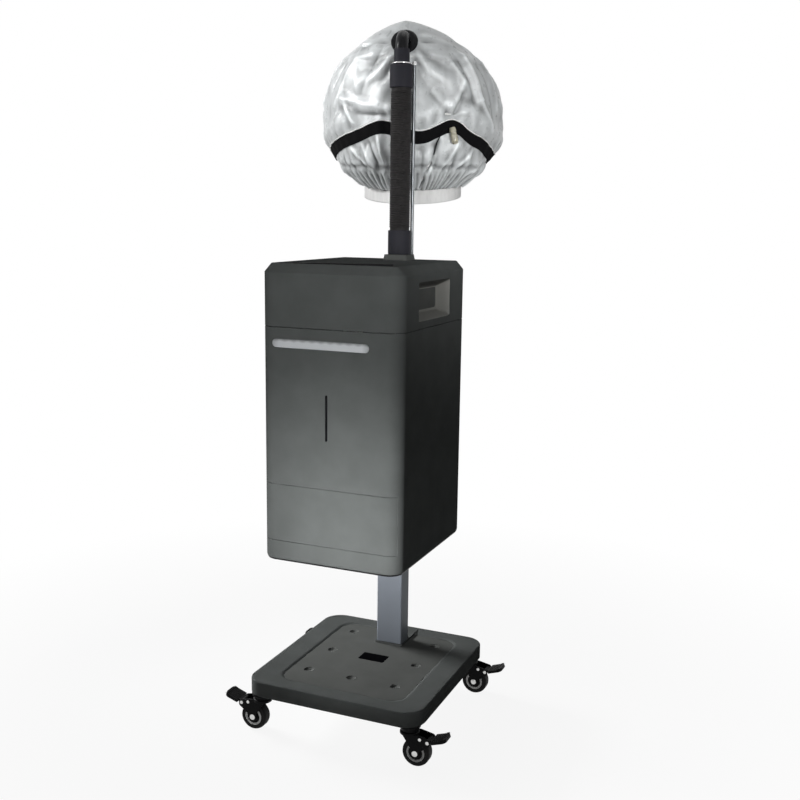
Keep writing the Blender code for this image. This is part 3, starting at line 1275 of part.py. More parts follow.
def build_hood():
    """Elbow, flange, cloth and strap, which swing together about the tube."""
    swing = axis_empty("hood_swing_axis", (TUBE_X, TUBE_Y, 0.0), (0, 0, math.radians(90 + HOOD_SWING)))
    hub_reach = HOOD_FRONT_GAP + (HUB_LEVEL - HOOD_LEAN_START) * math.tan(HUB_LEAN)
    hub = Vector((hub_reach, 0.0, HUB_LEVEL))
    inward = Vector((math.cos(HUB_LEAN), 0.0, -math.sin(HUB_LEAN)))

    def neck_path(overrun):
        turn = math.pi / 2 + HUB_LEAN
        bend_reach = NECK_BEND * (1 - math.cos(turn))
        straight = (hub_reach - bend_reach) / math.cos(HUB_LEAN)
        spring = HUB_LEVEL - NECK_BEND * math.sin(turn) + straight * math.sin(HUB_LEAN)
        points = [Vector((0, 0, UPPER_CUFF_TOP - NECK_INSERT + GAP - overrun))]
        for step in range(NECK_BEND_STEPS + 1):
            angle = turn * step / NECK_BEND_STEPS
            points.append(Vector((
                NECK_BEND * (1 - math.cos(angle)), 0.0, spring + NECK_BEND * math.sin(angle))))
        points.append(hub + inward * (NECK_OUTLET + overrun))
        return points

    elbow = stand("hood_elbow", pipe("hood_elbow", neck_path(0.0), NECK_RADIUS, FINE_PIPE_STEPS), GLOSS_BLACK, swing)
    cut(elbow, guide(pipe("neck_bore", neck_path(CUT_OVERRUN), NECK_RADIUS - NECK_WALL, FINE_PIPE_STEPS), swing))

    face = (0.0, HUB_LEAN - math.pi / 2, 0.0)
    half = FLANGE_THICKNESS / 2
    bore = NECK_RADIUS + RUNNING_GAP
    flange = turned("hood_flange", [
        (FLANGE_RADIUS - half, half),
        (FLANGE_RADIUS, 0),
        (FLANGE_RADIUS, -half),
        (bore, -half),
        (bore, half),
    ], closed=True)
    stand("hood_flange", flange, GLOSS_BLACK, swing, hub - inward * (half + RUNNING_GAP), face)

    for name, inset, cloth, material, segments in (
            ("hood_shell", 0.0, HOOD_CLOTH, SILVER_CLOTH, HOOD_SEGMENTS),
            ("hood_lining", LINING_INSET, LINING_CLOTH, WHITE_CLOTH, LINING_SEGMENTS)):
        gathered = inset == 0.0
        rings = [hood_ring(level, inset, segments, gathered) for level in hood_levels(inset)]
        if not gathered:
            rings.insert(0, [(x, y, z - LINING_DROP) for x, y, z in rings[0]])
        skin = welded(loft(name, rings), outward=False)
        sheet = stand(name, skin, material, swing)
        thicken(sheet, cloth)
        hole = cylinder("hub_hole", bore, -NECK_OUTLET, NECK_OUTLET, FINE_STEPS)
        cut(sheet, guide(hole, swing, hub, face))

    lining_flat = (HOOD_RADIUS - LINING_INSET) * math.cos(math.pi / LINING_SEGMENTS)
    bpy.ops.mesh.primitive_torus_add(
        major_radius=lining_flat - LINING_CLOTH - RUNNING_GAP - HOOP_WIRE, minor_radius=HOOP_WIRE,
        major_segments=FINE_STEPS, minor_segments=RING_SIDES)
    hoop = mesh_of(bpy.context.active_object)
    stand("hood_hoop", hoop, STEEL, swing, (HOOD_FRONT_GAP + HOOD_RADIUS, 0.0, HOOD_BELLY))

    build_strap(swing)


def strap_level(angle):
    """Height of the strap's middle: higher at the front than at the sides, with two humps and a dip."""
    front = max(0.0, -math.cos(angle))
    level = HOOD_BELLY - STRAP_BELOW_BELLY + STRAP_FRONT_RISE * front ** STRAP_RISE_POWER
    for height, at in (
            (STRAP_LEFT_HUMP, STRAP_LEFT_HUMP_AT),
            (STRAP_DIP, STRAP_DIP_AT),
            (STRAP_RIGHT_HUMP, STRAP_RIGHT_HUMP_AT)):
        away = (math.degrees(angle) - at) / STRAP_WAVE_SPREAD
        level += height * math.exp(-away * away)
    return level


def build_strap(swing):
    """Flat band round the hood."""
    rows = []
    for index in range(HOOD_SEGMENTS):
        angle = math.tau * index / HOOD_SEGMENTS
        middle_level = strap_level(angle)
        row = []
        for lift, out in ((-1, 0), (-1, 1), (0, 1), (1, 1), (1, 0), (0, 0)):
            level = middle_level + lift * STRAP_HEIGHT / 2
            radius, middle, slope = hood_section(level, 0.0)
            reach = radius * (1 + gather_share(level)) + RUNNING_GAP + out * STRAP_THICKNESS
            along = reach * math.cos(angle)
            row.append((middle + along, reach * math.sin(angle), level + slope * along))
        rows.append(row)
    rows.append(rows[0])
    strap = welded(loft("hood_strap", rows))
    stand("hood_strap", strap, BLACK_WEBBING, swing)


build_base()
build_column()
build_casters()
build_cabinet_shell()
build_front_features()
build_drawer()
build_top_cover()
build_handle_cups()
build_equipment()
build_back()
build_hose()
build_mast()
build_hood()
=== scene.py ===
"""Hair steamer on a wheeled stand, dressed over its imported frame."""

import math

import bmesh
import bpy
from mathutils import Matrix, Vector, noise


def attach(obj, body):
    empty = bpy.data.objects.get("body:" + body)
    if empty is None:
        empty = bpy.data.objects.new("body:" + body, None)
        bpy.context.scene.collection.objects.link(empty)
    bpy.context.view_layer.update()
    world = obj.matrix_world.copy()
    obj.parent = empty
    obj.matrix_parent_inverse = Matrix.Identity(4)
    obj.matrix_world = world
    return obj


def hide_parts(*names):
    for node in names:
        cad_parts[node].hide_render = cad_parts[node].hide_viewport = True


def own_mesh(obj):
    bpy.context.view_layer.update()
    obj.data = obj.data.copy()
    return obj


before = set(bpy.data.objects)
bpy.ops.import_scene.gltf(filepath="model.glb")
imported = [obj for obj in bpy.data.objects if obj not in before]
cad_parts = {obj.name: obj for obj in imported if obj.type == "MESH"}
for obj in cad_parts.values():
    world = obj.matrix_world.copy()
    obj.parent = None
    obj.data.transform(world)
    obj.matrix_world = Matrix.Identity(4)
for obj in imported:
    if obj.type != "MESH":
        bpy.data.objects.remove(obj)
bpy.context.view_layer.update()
scene = bpy.context.scene
scene.view_settings.view_transform = "Standard"

# Sizes in metres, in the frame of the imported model
HAIRLINE = 0.0003
SEAM_EDGE = 0.0008
THROUGH = 0.01
MERGE_REACH = 1e-6
CABINET_WIDTH = 0.320
CABINET_DEPTH = 0.383
CABINET_Y = -0.030
CABINET_RADIUS = 0.032
CABINET_WALL = 0.003
CABINET_FRONT = CABINET_Y - CABINET_DEPTH / 2
CABINET_BACK = CABINET_Y + CABINET_DEPTH / 2
CABINET_BOTTOM = 0.420
FOOT_CHAMFER = 0.006
SHELL_TOP = 0.9212
SEAM = 0.922
CHAMFER_START = 1.0333
CABINET_TOP = 1.0523
TOP_CHAMFER = 0.018
TOP_RIM = 0.006
MITRE_RADIUS = 0.006
PANEL_TOP = 1.0513
TUBE = Vector((0.015, 0.106, 0.0))
ROD_OFFSET = 0.0215
ROD_HOLE = 0.0043
CUFF_RADIUS = 0.026
HOSE_BORE = 0.0165
HOSE_BOTTOM = 1.1184
HOSE_LENGTH = 0.3105
HOSE_RADIUS = 0.0235
HOSE_ROOT = 0.0221
HOSE_RIBS = 60
HOSE_PLAIN_END = 0.006
UPPER_CUFF_BOTTOM = 1.4292
UPPER_CUFF_TOP = 1.4792
NECK_RADIUS = 0.0174
ELBOW_RADIUS = 0.0140
NECK_COLLAR_TOP = 1.5130
RING_LEVEL = 1.4815
HANDLE_Y = -0.038
HANDLE_LEVEL = 0.9775
POCKET_WIDTH = 0.180
POCKET_HEIGHT = 0.081
POCKET_DRAFT = 0.0151
POCKET_DEPTH = 0.028
POCKET_RADIUS = 0.006
LIGHT_BAR_X = -0.0187
LIGHT_BAR_LEVEL = 0.8885
LIGHT_BAR_SIZE = (0.2209, 0.0181, 0.009)
LIGHT_BAR_PLACE = (LIGHT_BAR_X, CABINET_FRONT, LIGHT_BAR_LEVEL)
WINDOW_SIZE = (0.0049, 0.0969, 0.0024)
WINDOW_PLACE = (-0.004, CABINET_FRONT, 0.738)
REAR_PANEL_SIZE = (0.2394, 0.3994, 0.0117)
REAR_PANEL_PLACE = (0.0, CABINET_BACK, 0.675)
DRAWER_BOTTOM = 0.462
DRAWER_HEIGHT = 0.125
DRAWER_WRAP = 0.0122
INLET_SIZE = (0.0474, 0.0274, 0.0037)
INLET_DROP = -0.165
INLET_X = 0.070
SWITCH_X = 0.018

# Stand
BASE_WIDTH = 0.420
BASE_DEPTH = 0.440
BASE_RADIUS = 0.045
BASE_BOTTOM = 0.090
BASE_TOP = 0.125
DISH = 0.1206
COLUMN_WIDTH = 0.064
COLUMN_DEPTH = 0.048
COLUMN_Y = 0.130
COLUMN_SPOT = (0.0, COLUMN_Y)
NOTCH_MARGIN = 0.004
DIMPLE_Y = 0.018
DIMPLE_PITCH_X = 0.108
DIMPLE_PITCH_Y = 0.121
CASTER_X = 0.180
CASTER_Y = 0.190
WHEEL_RADIUS = 0.031
AXLE_PLACE = Vector((0.018, 0.0, 0.031))
PEDAL_PLACE = Vector((0.046, 0.0, 0.061))
CHEEK_INNER = 0.0138
CHEEK_OUTER = 0.0168
PEDAL_TILT = math.radians(18.0)

# Hood
HUB_LEVEL = 1.5342
HUB_LEAN = math.radians(25.0)
FLANGE_RADIUS = 0.028
FLANGE_THICKNESS = 0.004
PLATE_RADIUS = 0.0305
NECK_BEND = 0.026
NECK_OUTLET = 0.022
HOOD_TURN = math.radians(105.9)
HOOD_RADIUS = 0.220
HOOD_FRONT_GAP = 0.036
HOOD_PEAK = 1.5842
HOOD_BELLY = 1.3802
HOOD_DROP = 0.148
HOOD_HEM_RADIUS = 0.1285
HOOD_CROWN_POWER = 0.58
HOOD_SKIRT_POWER = 2.5
HOOD_HEM_SLOPE = math.tan(math.radians(10.0))
HOOD_LEAN_START = HUB_LEVEL - FLANGE_RADIUS * math.cos(HUB_LEAN)
HUB = Vector((HOOD_FRONT_GAP + (HUB_LEVEL - HOOD_LEAN_START) * math.tan(HUB_LEAN), 0.0, HUB_LEVEL))
LINING_INSET = 0.0045
LINING_DROP = 0.033
STRAP_HEIGHT = 0.024
STRAP_BELOW_BELLY = 0.092
STRAP_FRONT_RISE = 0.060
STRAP_RISE_POWER = 1.2
STRAP_WAVES = ((0.009, 165.0), (-0.011, 189.0), (0.020, 212.0), (0.006, 234.0))
STRAP_WAVE_SPREAD = 11.0
CROWN_SEAM = 0.117
HEM_PLEATS = 84
HOOD_ELASTIC = 1.281
STRAP_LAP = 0.006
DRAWCORD = 0.0025
FOLD_RADIUS = 0.21
FOLD_REPEAT = 120.0
LIFT_REACH = 0.0075

# Contrast of the noise in the finishes, and the span that most of it lies in
NOISE_CONTRAST = 0.55
NOISE_SPAN = (0.3, 0.7)

# Folds of the cloth: angle and rise over the belly at each end, then spread and height
FOLDS = (
    (137, 0.037, 147, -0.018, 0.008, 0.007), (137, 0.037, 172, 0.004, 0.009, 0.007),
    (150, 0.004, 168, -0.006, 0.016, -0.008), (133, 0.150, 150, 0.050, 0.012, 0.004),
    (160, 0.140, 152, 0.055, 0.014, -0.005), (172, 0.120, 160, 0.050, 0.012, 0.003),
    (232, 0.130, 231, 0.034, 0.007, 0.008), (231, 0.034, 240, -0.026, 0.008, 0.007),
    (225, 0.115, 226, 0.030, 0.008, -0.006), (217, 0.110, 221, 0.074, 0.008, 0.005),
    (221, 0.074, 215, 0.036, 0.008, 0.006), (211, -0.004, 218, 0.045, 0.009, -0.007),
    (211, -0.004, 223, 0.014, 0.006, 0.005), (256, 0.120, 249, 0.022, 0.008, 0.006),
    (244, 0.110, 243, 0.000, 0.009, -0.006), (197, 0.043, 211, -0.010, 0.012, -0.004),
    (149, -0.042, 157, -0.096, 0.006, 0.006), (138, -0.054, 151, -0.093, 0.006, 0.006),
    (163, -0.036, 167, -0.088, 0.006, 0.007), (155, -0.040, 161, -0.090, 0.006, -0.006),
    (202, -0.050, 199, -0.094, 0.006, -0.007), (215, -0.053, 208, -0.096, 0.006, 0.006),
    (229, -0.066, 218, -0.099, 0.006, 0.006), (248, -0.084, 230, -0.119, 0.006, 0.005),
    (199, -0.096, 197, -0.108, 0.0025, -0.010), (195, -0.125, 193.5, -0.140, 0.0025, -0.010))

FACE_FRONT = Matrix.Rotation(math.pi / 2, 4, "X")
FACE_BACK = Matrix.Rotation(math.pi, 4, "Z") @ FACE_FRONT
FACE_RIGHT = Matrix.Rotation(math.pi / 2, 4, "Z") @ FACE_FRONT
FACE_LEFT = Matrix.Rotation(-math.pi / 2, 4, "Z") @ FACE_FRONT
HOOD_SEAT = Matrix.Translation(TUBE) @ Matrix.Rotation(HOOD_TURN, 4, "Z")


def operator(operation, swapped=False):
    """Method that adds the Math node of an operation on two values."""
    def work(self, other):
        first, second = (other, self) if swapped else (self, other)
        return self.graph.node("ShaderNodeMath", {"operation": operation}, {0: first, 1: second})
    return work


class Value:
    """A socket of a node tree. An expression on it adds the Math nodes that work it out."""

    def __init__(self, graph, socket):
        self.graph = graph
        self.socket = socket

    __add__ = operator("ADD")
    __sub__, __rsub__ = operator("SUBTRACT"), operator("SUBTRACT", True)
    __mul__, __rmul__ = operator("MULTIPLY"), operator("MULTIPLY", True)
    __truediv__, __pow__ = operator("DIVIDE"), operator("POWER")
    __lt__, __gt__ = operator("LESS_THAN"), operator("GREATER_THAN")

    def through(self, operation):
        """The value after a function of one number."""
        return self.graph.node("ShaderNodeMath", {"operation": operation}, {0: self})

    def beside(self, output):
        """Another output of the same node."""
        return Value(self.graph, self.socket.node.outputs[output])


class Graph:
    """A node tree whose nodes are added by type, settings and inputs."""

    def __init__(self, tree):
        self.tree = tree

    def node(self, kind, settings=None, inputs=None, output=0):
        made = self.tree.nodes.new(kind)
        for name, value in (settings or {}).items():
            setattr(made, name, value)
        for name, value in (inputs or {}).items():
            self.feed(made.inputs[name], value)
        return Value(self, made.outputs[output])

    def feed(self, socket, value):
        if isinstance(value, Value):
            self.tree.links.new(value.socket, socket)
        else:
            socket.default_value = value

    def axes(self, vector):
        """The three parts of a vector."""
        across = self.node("ShaderNodeSeparateXYZ", None, {0: vector})
        return across, across.beside(1), across.beside(2)


class Finish(Graph):
    """A material with its Principled shader, named after the record's slot."""

    def __init__(self, name, colour, roughness, metallic=0.0, shine=None, fixed=None):
        self.slot = name
        self.colour = colour
        self.material = bpy.data.materials.new(name)
        self.material.use_nodes = True
        super().__init__(self.material.node_tree)
        self.shader = self.tree.nodes["Principled BSDF"]
        self.normal = None
        self.set("Base Color", (*colour, 1.0))
        self.set("Roughness", roughness)
        self.set("Metallic", metallic)
        if shine is not None:
            self.set("Specular IOR Level", shine)
        for socket, value in (fixed or {}).items():
            self.set(socket, value)

    def set(self, name, value):
        self.feed(self.shader.inputs[name], value)

    def shade(self, share):
        """The finish's colour, darker or paler."""
        return tuple(channel * share for channel in self.colour)

    def here(self, stretch=(1.0, 1.0, 1.0), turn=(0.0, 0.0, 0.0), source="Object"):
        """Place on the piece, stretched and turned."""
        place = self.node("ShaderNodeTexCoord", output=source)
        return self.node("ShaderNodeMapping", inputs={"Vector": place, "Rotation": turn, "Scale": stretch})

    def grain(self, size, detail=2.0, place=None):
        """Cloudy noise whose features are about size across."""
        return self.node("ShaderNodeTexNoise", None, {
            "Scale": 1 / size, "Detail": detail, "Roughness": NOISE_CONTRAST, "Vector": place or self.here()})

    def spread(self, value, low, high, to_low=0.0, to_high=1.0):
        """Value from low to high, stretched to another span and clamped."""
        return self.node("ShaderNodeMapRange", None, {
            "Value": value, "From Min": low, "From Max": high, "To Min": to_low, "To Max": to_high})

    def tint(self, factor, first, second):
        """Colour between two others."""
        def whole(colour):
            return colour if isinstance(colour, Value) else (*colour, 1.0)
        return self.node(
            "ShaderNodeMix", {"data_type": "RGBA"}, {0: factor, 6: whole(first), 7: whole(second)}, 2)

    def clouded(self, value, low, high, first, second):
        """Base colour from one shade to another as a value goes from low to high."""
        self.set("Base Color", self.tint(
            self.spread(value, low, high), self.shade(first), self.shade(second)))

    def roughened(self, value, low, high):
        """Roughness that follows a noise."""
        self.set("Roughness", self.spread(value, *NOISE_SPAN, low, high))

    def relief(self, height, depth, strength=1.0):
        """Raise the surface by height times depth, over any relief it already has."""
        inputs = {"Height": height, "Distance": depth, "Strength": strength}
        if self.normal:
            inputs["Normal"] = self.normal
        self.normal = self.node("ShaderNodeBump", None, inputs)
        self.set("Normal", self.normal)

    def rubbed_edge(self, radius):
        """One on sharp edges and nought on flat faces."""
        soft = self.node("ShaderNodeBevel", {"samples": 4}, {"Radius": radius})
        plain = self.node("ShaderNodeNewGeometry", output="Normal")
        agree = self.node(
            "ShaderNodeVectorMath", {"operation": "DOT_PRODUCT"}, {0: soft, 1: plain}, "Value")
        return self.spread(1 - agree, 0.02, 0.20)

    def weave(self, pitch):
        """Threads that cross over and under, on the cloth's own map."""
        along, up, _ = self.axes(self.here(source="UV"))
        warp, weft = ((way * (math.tau / pitch)).through("SINE") for way in (along, up))
        return warp * weft


def moulded(name, colour, roughness, edge_paling=1.35, shine=None):
    """Moulded plastic: fine texture from the tool, faint flow marks, and edges made paler, partly as rubbing
    wear and partly as a painted highlight.
    """
    finish = Finish(name, colour, roughness, shine=shine)
    cloud = finish.grain(0.070, 3.0)
    speck = finish.grain(0.0006, 1.0)
    base = finish.tint(finish.spread(cloud, 0.35, 0.65), finish.shade(0.94), finish.shade(1.06))
    flecked = finish.tint(finish.spread(speck, 0.55, 0.75) * 0.5, base, finish.shade(1.18))
    # Paler sharp edges: rubbing wear together with a painted highlight.
    worn_lit_edge = finish.rubbed_edge(0.0012) * finish.spread(cloud, 0.4, 0.6, 0.3, 0.8)
    finish.set("Base Color", finish.tint(worn_lit_edge, flecked, finish.shade(edge_paling)))
    finish.roughened(cloud * 0.6 + speck * 0.4, roughness - 0.05, roughness + 0.06)
    finish.relief(speck, 0.00004)
    return finish


def pocket_plastic(name, colour):
    """Moulding of the carrying pockets, with painted shade on their sloping roof, which lies in shadow."""
    finish = moulded(name, colour, 0.50, shine=0.0)
    across, _, up = finish.axes(finish.here())
    depth = across.through("ABSOLUTE") * -1.0 + CABINET_WIDTH / 2
    below = up - (HANDLE_LEVEL + POCKET_HEIGHT / 2) + depth * (POCKET_DRAFT / POCKET_DEPTH)
    # Painted shade: darker on the roof of the pocket, where shadow falls.
    finish.clouded(below, -0.003, -0.001, 1.0, 0.35)
    return finish


def rubber(name, colour, roughness):
    """Tyre rubber: dull, with a powdery bloom."""
    finish = Finish(name, colour, roughness, shine=0.12)
    bloom = finish.grain(0.006, 4.0)
    finish.clouded(bloom, 0.45, 0.75, 1.0, 1.8)
    finish.roughened(bloom, roughness - 0.1, roughness + 0.1)
    finish.relief(finish.grain(0.0008), 0.00006)
    return finish


def painted_metal(name, colour, roughness):
    """Powder-coated steel: a low orange-peel surface."""
    finish = Finish(name, colour, roughness, shine=0.10)
    peel = finish.grain(0.0022)
    finish.clouded(finish.grain(0.090), 0.35, 0.65, 0.96, 1.04)
    finish.roughened(peel, roughness - 0.05, roughness + 0.07)
    finish.relief(peel, 0.00006)
    return finish


def bare_metal(name, colour, roughness, brushed):
    """Plated or polished metal with fine drawn lines and a slight tarnish."""
    finish = Finish(name, colour, roughness, 1.0)
    lines = finish.grain(0.0008, 2.0, finish.here((1.0, 1.0, brushed)))
    tarnish = finish.grain(0.015, 4.0)
    finish.clouded(tarnish, 0.5, 0.8, 1.0, 0.82)
    finish.roughened(lines * 0.5 + tarnish * 0.5, roughness * 0.7, roughness * 1.4)
    finish.relief(lines, 0.000015)
    return finish


def frosted(name, colour):
    """Milky lens with painted shade along its upper edge, rippled like the shadows of its lamp chips, and a
    painted glow, brightest in its middle and darker towards its ends.
    """
    finish = Finish(name, colour, 0.45, shine=0.2)
    across, _, up = finish.axes(finish.here())
    wave = (across * (math.tau / 0.0210)).through("SINE")
    # Painted shade along the upper edge, rippled like the shadows of the lamp chips.
    edge = finish.spread(up + wave * 0.0008, LIGHT_BAR_LEVEL + 0.0030, LIGHT_BAR_LEVEL + 0.0080)
    # Painted glow: brightest in the middle of the lens, darker towards its ends.
    aside = (across - LIGHT_BAR_X).through("ABSOLUTE")
    painted_glow = finish.tint(finish.spread(aside, 0.095, 0.112), colour, finish.shade(0.55))
    finish.set("Base Color", finish.tint(edge * 0.8, painted_glow, finish.shade(0.30)))
    finish.roughened(finish.grain(0.004), 0.38, 0.52)
    finish.relief(finish.grain(0.0009, 1.0), 0.00005)
    return finish


def dark_pane(name, colour, roughness, shine):
    """Dark glass or gloss plastic, with faint wipe marks in its shine."""
    finish = Finish(name, colour, roughness, shine=shine)
    wipe = finish.grain(0.012, 4.0, finish.here((1.0, 0.4, 0.3)))
    finish.set("Roughness", finish.spread(wipe, 0.35, 0.7, roughness, roughness + 0.14))
    finish.clouded(wipe, 0.5, 0.8, 1.0, 1.8)
    finish.relief(finish.grain(0.0300, 1.0), 0.00008)
    return finish


def clear_moulding(name, colour):
    """Translucent tank plastic, cloudier where it is thick."""
    finish = Finish(name, colour, 0.22, fixed={"Transmission Weight": 0.55, "IOR": 1.45})
    cloud = finish.grain(0.030, 3.0)
    finish.clouded(cloud, 0.4, 0.6, 1.0, 0.88)
    finish.roughened(cloud, 0.16, 0.30)
    finish.relief(cloud, 0.0002)
    return finish


def circuit_board(name, colour):
    """Lacquered board with paler copper tracks."""
    finish = Finish(name, colour, 0.40, fixed={"Coat Weight": 0.4})
    dark, pale = (0, 0, 0, 1), (1, 1, 1, 1)
    tracks = finish.node("ShaderNodeTexBrick", {"offset": 0.5}, {
        "Vector": finish.here(turn=(math.pi / 2, 0.0, 0.0)), "Scale": 60.0, "Mortar Size": 0.03,
        "Color1": dark, "Color2": dark, "Mortar": pale}, "Fac")
    finish.set("Base Color", finish.tint(tracks, colour, finish.shade(2.2)))
    finish.set("Roughness", finish.spread(tracks, 0.0, 1.0, 0.42, 0.30))
    finish.relief(tracks, 0.00005)
    return finish


def metallised_cloth(name, colour):
    """Silver-coated taffeta: tight weave, crushed creases, painted shade in the hollows and painted
    highlights on the ridges.
    """
    finish = Finish(name, colour, 0.32, 0.10, 0.5)
    crush = finish.grain(0.016, 3.0)
    streak = finish.grain(0.022, 3.0, finish.here((1.0, 1.0, 0.35)))
    lift = finish.node("ShaderNodeAttribute", {"attribute_name": "lift"}, None, "Fac")
    # Painted shade in the hollows and painted highlight on the ridges, from how far the cloth stands above
    # the cloth around it.
    hollow_shaded = finish.tint(finish.spread(lift, -0.0026, 0.0), finish.shade(0.40), colour)
    ridge_lit = finish.tint(finish.spread(lift, 0.0002, 0.0022), hollow_shaded, finish.shade(1.40))
    streaked = finish.spread(streak, 0.45, 0.75) * 0.5
    finish.set("Base Color", finish.tint(streaked, ridge_lit, finish.shade(0.80)))
    finish.roughened(crush, 0.25, 0.38)
    finish.set("Metallic", finish.spread(streak, *NOISE_SPAN, 0.04, 0.16))
    finish.relief(crush, 0.0010, 0.5)
    finish.relief(streak, 0.0010, 0.5)
    finish.relief(finish.weave(0.0011), 0.00005)
    return finish


def lining_cloth(name, colour):
    """White cotton-like lining with small puckers and a plain weave."""
    finish = Finish(name, colour, 0.85, fixed={"Sheen Weight": 0.25, "Sheen Roughness": 0.5})
    pucker = finish.grain(0.010, 3.0, finish.here((1.0, 1.0, 0.3)))
    finish.clouded(pucker, 0.4, 0.7, 1.0, 0.90)
    finish.roughened(pucker, 0.80, 0.92)
    finish.relief(pucker, 0.0016, 0.8)
    finish.relief(finish.weave(0.0009), 0.00008)
    return finish


def webbing(name, colour):
    """Woven strap: diagonal ribs with a slight nap."""
    finish = Finish(name, colour, 0.85, shine=0.05)
    along, up, _ = finish.axes(finish.here(source="UV"))
    twill = ((along + up) * (math.tau / 0.0022)).through("SINE")
    nap = finish.grain(0.0012)
    finish.clouded(twill * 0.3 + nap, 0.3, 0.9, 0.7, 1.8)
    finish.roughened(nap, 0.78, 0.92)
    finish.relief(twill, 0.0003, 0.7)
    finish.relief(nap, 0.0002, 0.5)
    return finish


def hose_plastic(name, colour):
    """Extruded hose: satin crests and dust in the grooves."""
    finish = Finish(name, colour, 0.45, shine=0.05)
    dust = finish.grain(0.010, 4.0)
    finish.clouded(dust, 0.4, 0.8, 1.0, 1.5)
    finish.roughened(dust, 0.38, 0.54)
    finish.relief(finish.grain(0.0010), 0.00005)
    return finish


CASING = moulded("charcoal_casing", (0.094, 0.100, 0.098), 0.50, shine=0.0)
TRIM_GREY = moulded("grey_trim", (0.100, 0.104, 0.100), 0.50, shine=0.0)
BLACK = moulded("black_moulding", (0.007, 0.007, 0.0075), 0.40, 2.0, 0.06)
GLOSS_BLACK = dark_pane("gloss_black", (0.006, 0.006, 0.007), 0.22, 0.12)
HOSE_BLACK = hose_plastic("hose_black", (0.022, 0.021, 0.021))
TYRE_BLACK = rubber("tyre_black", (0.009, 0.009, 0.009), 0.62)
COLUMN_GREY = painted_metal("column_paint", (0.200, 0.220, 0.250), 0.42)
STEEL = bare_metal("plated_steel", (0.62, 0.62, 0.61), 0.30, 0.15)
CHROME = bare_metal("chrome", (0.58, 0.58, 0.58), 0.12, 0.02)
LENS = frosted("frosted_lens", (0.58, 0.60, 0.62))
DARK_GLASS = dark_pane("dark_glass", (0.004, 0.004, 0.005), 0.20, 0.05)
TANK_PLASTIC = clear_moulding("tank_plastic", (0.62, 0.68, 0.72))
BOARD_GREEN = circuit_board("board_green", (0.020, 0.120, 0.050))
SILICONE = rubber("silicone", (0.50, 0.49, 0.47), 0.50)
SILVER_CLOTH = metallised_cloth("silver_cloth", (0.50, 0.52, 0.525))
WHITE_CLOTH = lining_cloth("white_cloth", (0.88, 0.88, 0.87))
BLACK_WEBBING = webbing("black_webbing", (0.005, 0.005, 0.0055))
TOGGLE_AMBER = clear_moulding("toggle_amber", (0.66, 0.63, 0.50))
CORD_BLACK = webbing("cord_black", (0.010, 0.010, 0.011))
CORD_GREY = webbing("cord_grey", (0.42, 0.43, 0.44))
WHEEL_RING = moulded("wheel_ring", (0.72, 0.72, 0.71), 0.40)
CUFF_BLACK = moulded("cuff_black", (0.030, 0.030, 0.036), 0.42, shine=0.03)
INSERT_BLACK = dark_pane("insert_black", (0.003, 0.003, 0.0035), 0.60, 0.0)
# A much darker copy of the chrome for the rod: painted shade that dims its reflections.
ROD_SHADED_CHROME = bare_metal("rod_chrome", (0.140, 0.148, 0.155), 0.36, 0.02)
# A paler copy of the trim grey for the pocket walls: painted light.
POCKET_LIT_GREY = pocket_plastic("pocket_grey", (0.250, 0.250, 0.234))
for variant, main in (
        (TOGGLE_AMBER, TANK_PLASTIC), (CORD_BLACK, BLACK_WEBBING), (CORD_GREY, SILVER_CLOTH),
        (WHEEL_RING, TRIM_GREY), (CUFF_BLACK, BLACK), (INSERT_BLACK, GLOSS_BLACK), (ROD_SHADED_CHROME, CHROME),
        (POCKET_LIT_GREY, TRIM_GREY)):
    variant.slot = main.slot


def rounded(corners, steps=8):
    """Outline through corners (x, y, radius), each one turned into an arc."""
    points = []
    for index, (x, y, radius) in enumerate(corners):
        here = Vector((x, y))
        if radius == 0:
            points.append((x, y))
            continue
        before = (Vector(corners[index - 1][:2]) - here).normalized()
        after = (Vector(corners[(index + 1) % len(corners)][:2]) - here).normalized()
        half = before.angle(after) / 2
        centre = here + (before + after).normalized() * (radius / math.sin(half))
        first = here + before * (radius / math.tan(half)) - centre
        last = here + after * (radius / math.tan(half)) - centre
        turn = math.pi - 2 * half
        for step in range(steps + 1):
            share = step / steps
            spoke = first * math.sin((1 - share) * turn) + last * math.sin(share * turn)
            points.append(tuple(centre + spoke / math.sin(turn)))
    return points


def rectangle(width, depth, radius, centre=(0.0, 0.0), steps=8):
    x, y = centre
    half, deep = width / 2, depth / 2
    corners = ((half, deep), (-half, deep), (-half, -deep), (half, -deep))
    return rounded([(x + across, y + along, radius) for across, along in corners], steps)


def fitted(size, gap=0.0, centre=(0.0, 0.0)):
    """Rectangle of a size (width, depth, radius), with a gap round it."""
    width, depth, radius = size
    return rectangle(width + 2 * gap, depth + 2 * gap, radius + gap, centre)


def circle(radius, centre=(0.0, 0.0), sides=40):
    return [(centre[0] + radius * math.cos(math.tau * side / sides),
             centre[1] + radius * math.sin(math.tau * side / sides)) for side in range(sides)]


def level_ring(outline, level):
    return [(x, y, level) for x, y in outline]


def shape_of(points, faces=()):
    mesh = bpy.data.meshes.new("shape")
    mesh.from_pydata(points, [], faces)
    return mesh


def tidy(mesh):
    """Merge doubled points and turn the faces outwards."""
    body = bmesh.new()
    body.from_mesh(mesh)
    bmesh.ops.remove_doubles(body, verts=body.verts, dist=MERGE_REACH)
    bmesh.ops.recalc_face_normals(body, faces=body.faces)
    body.to_mesh(mesh)
    body.free()
    return mesh


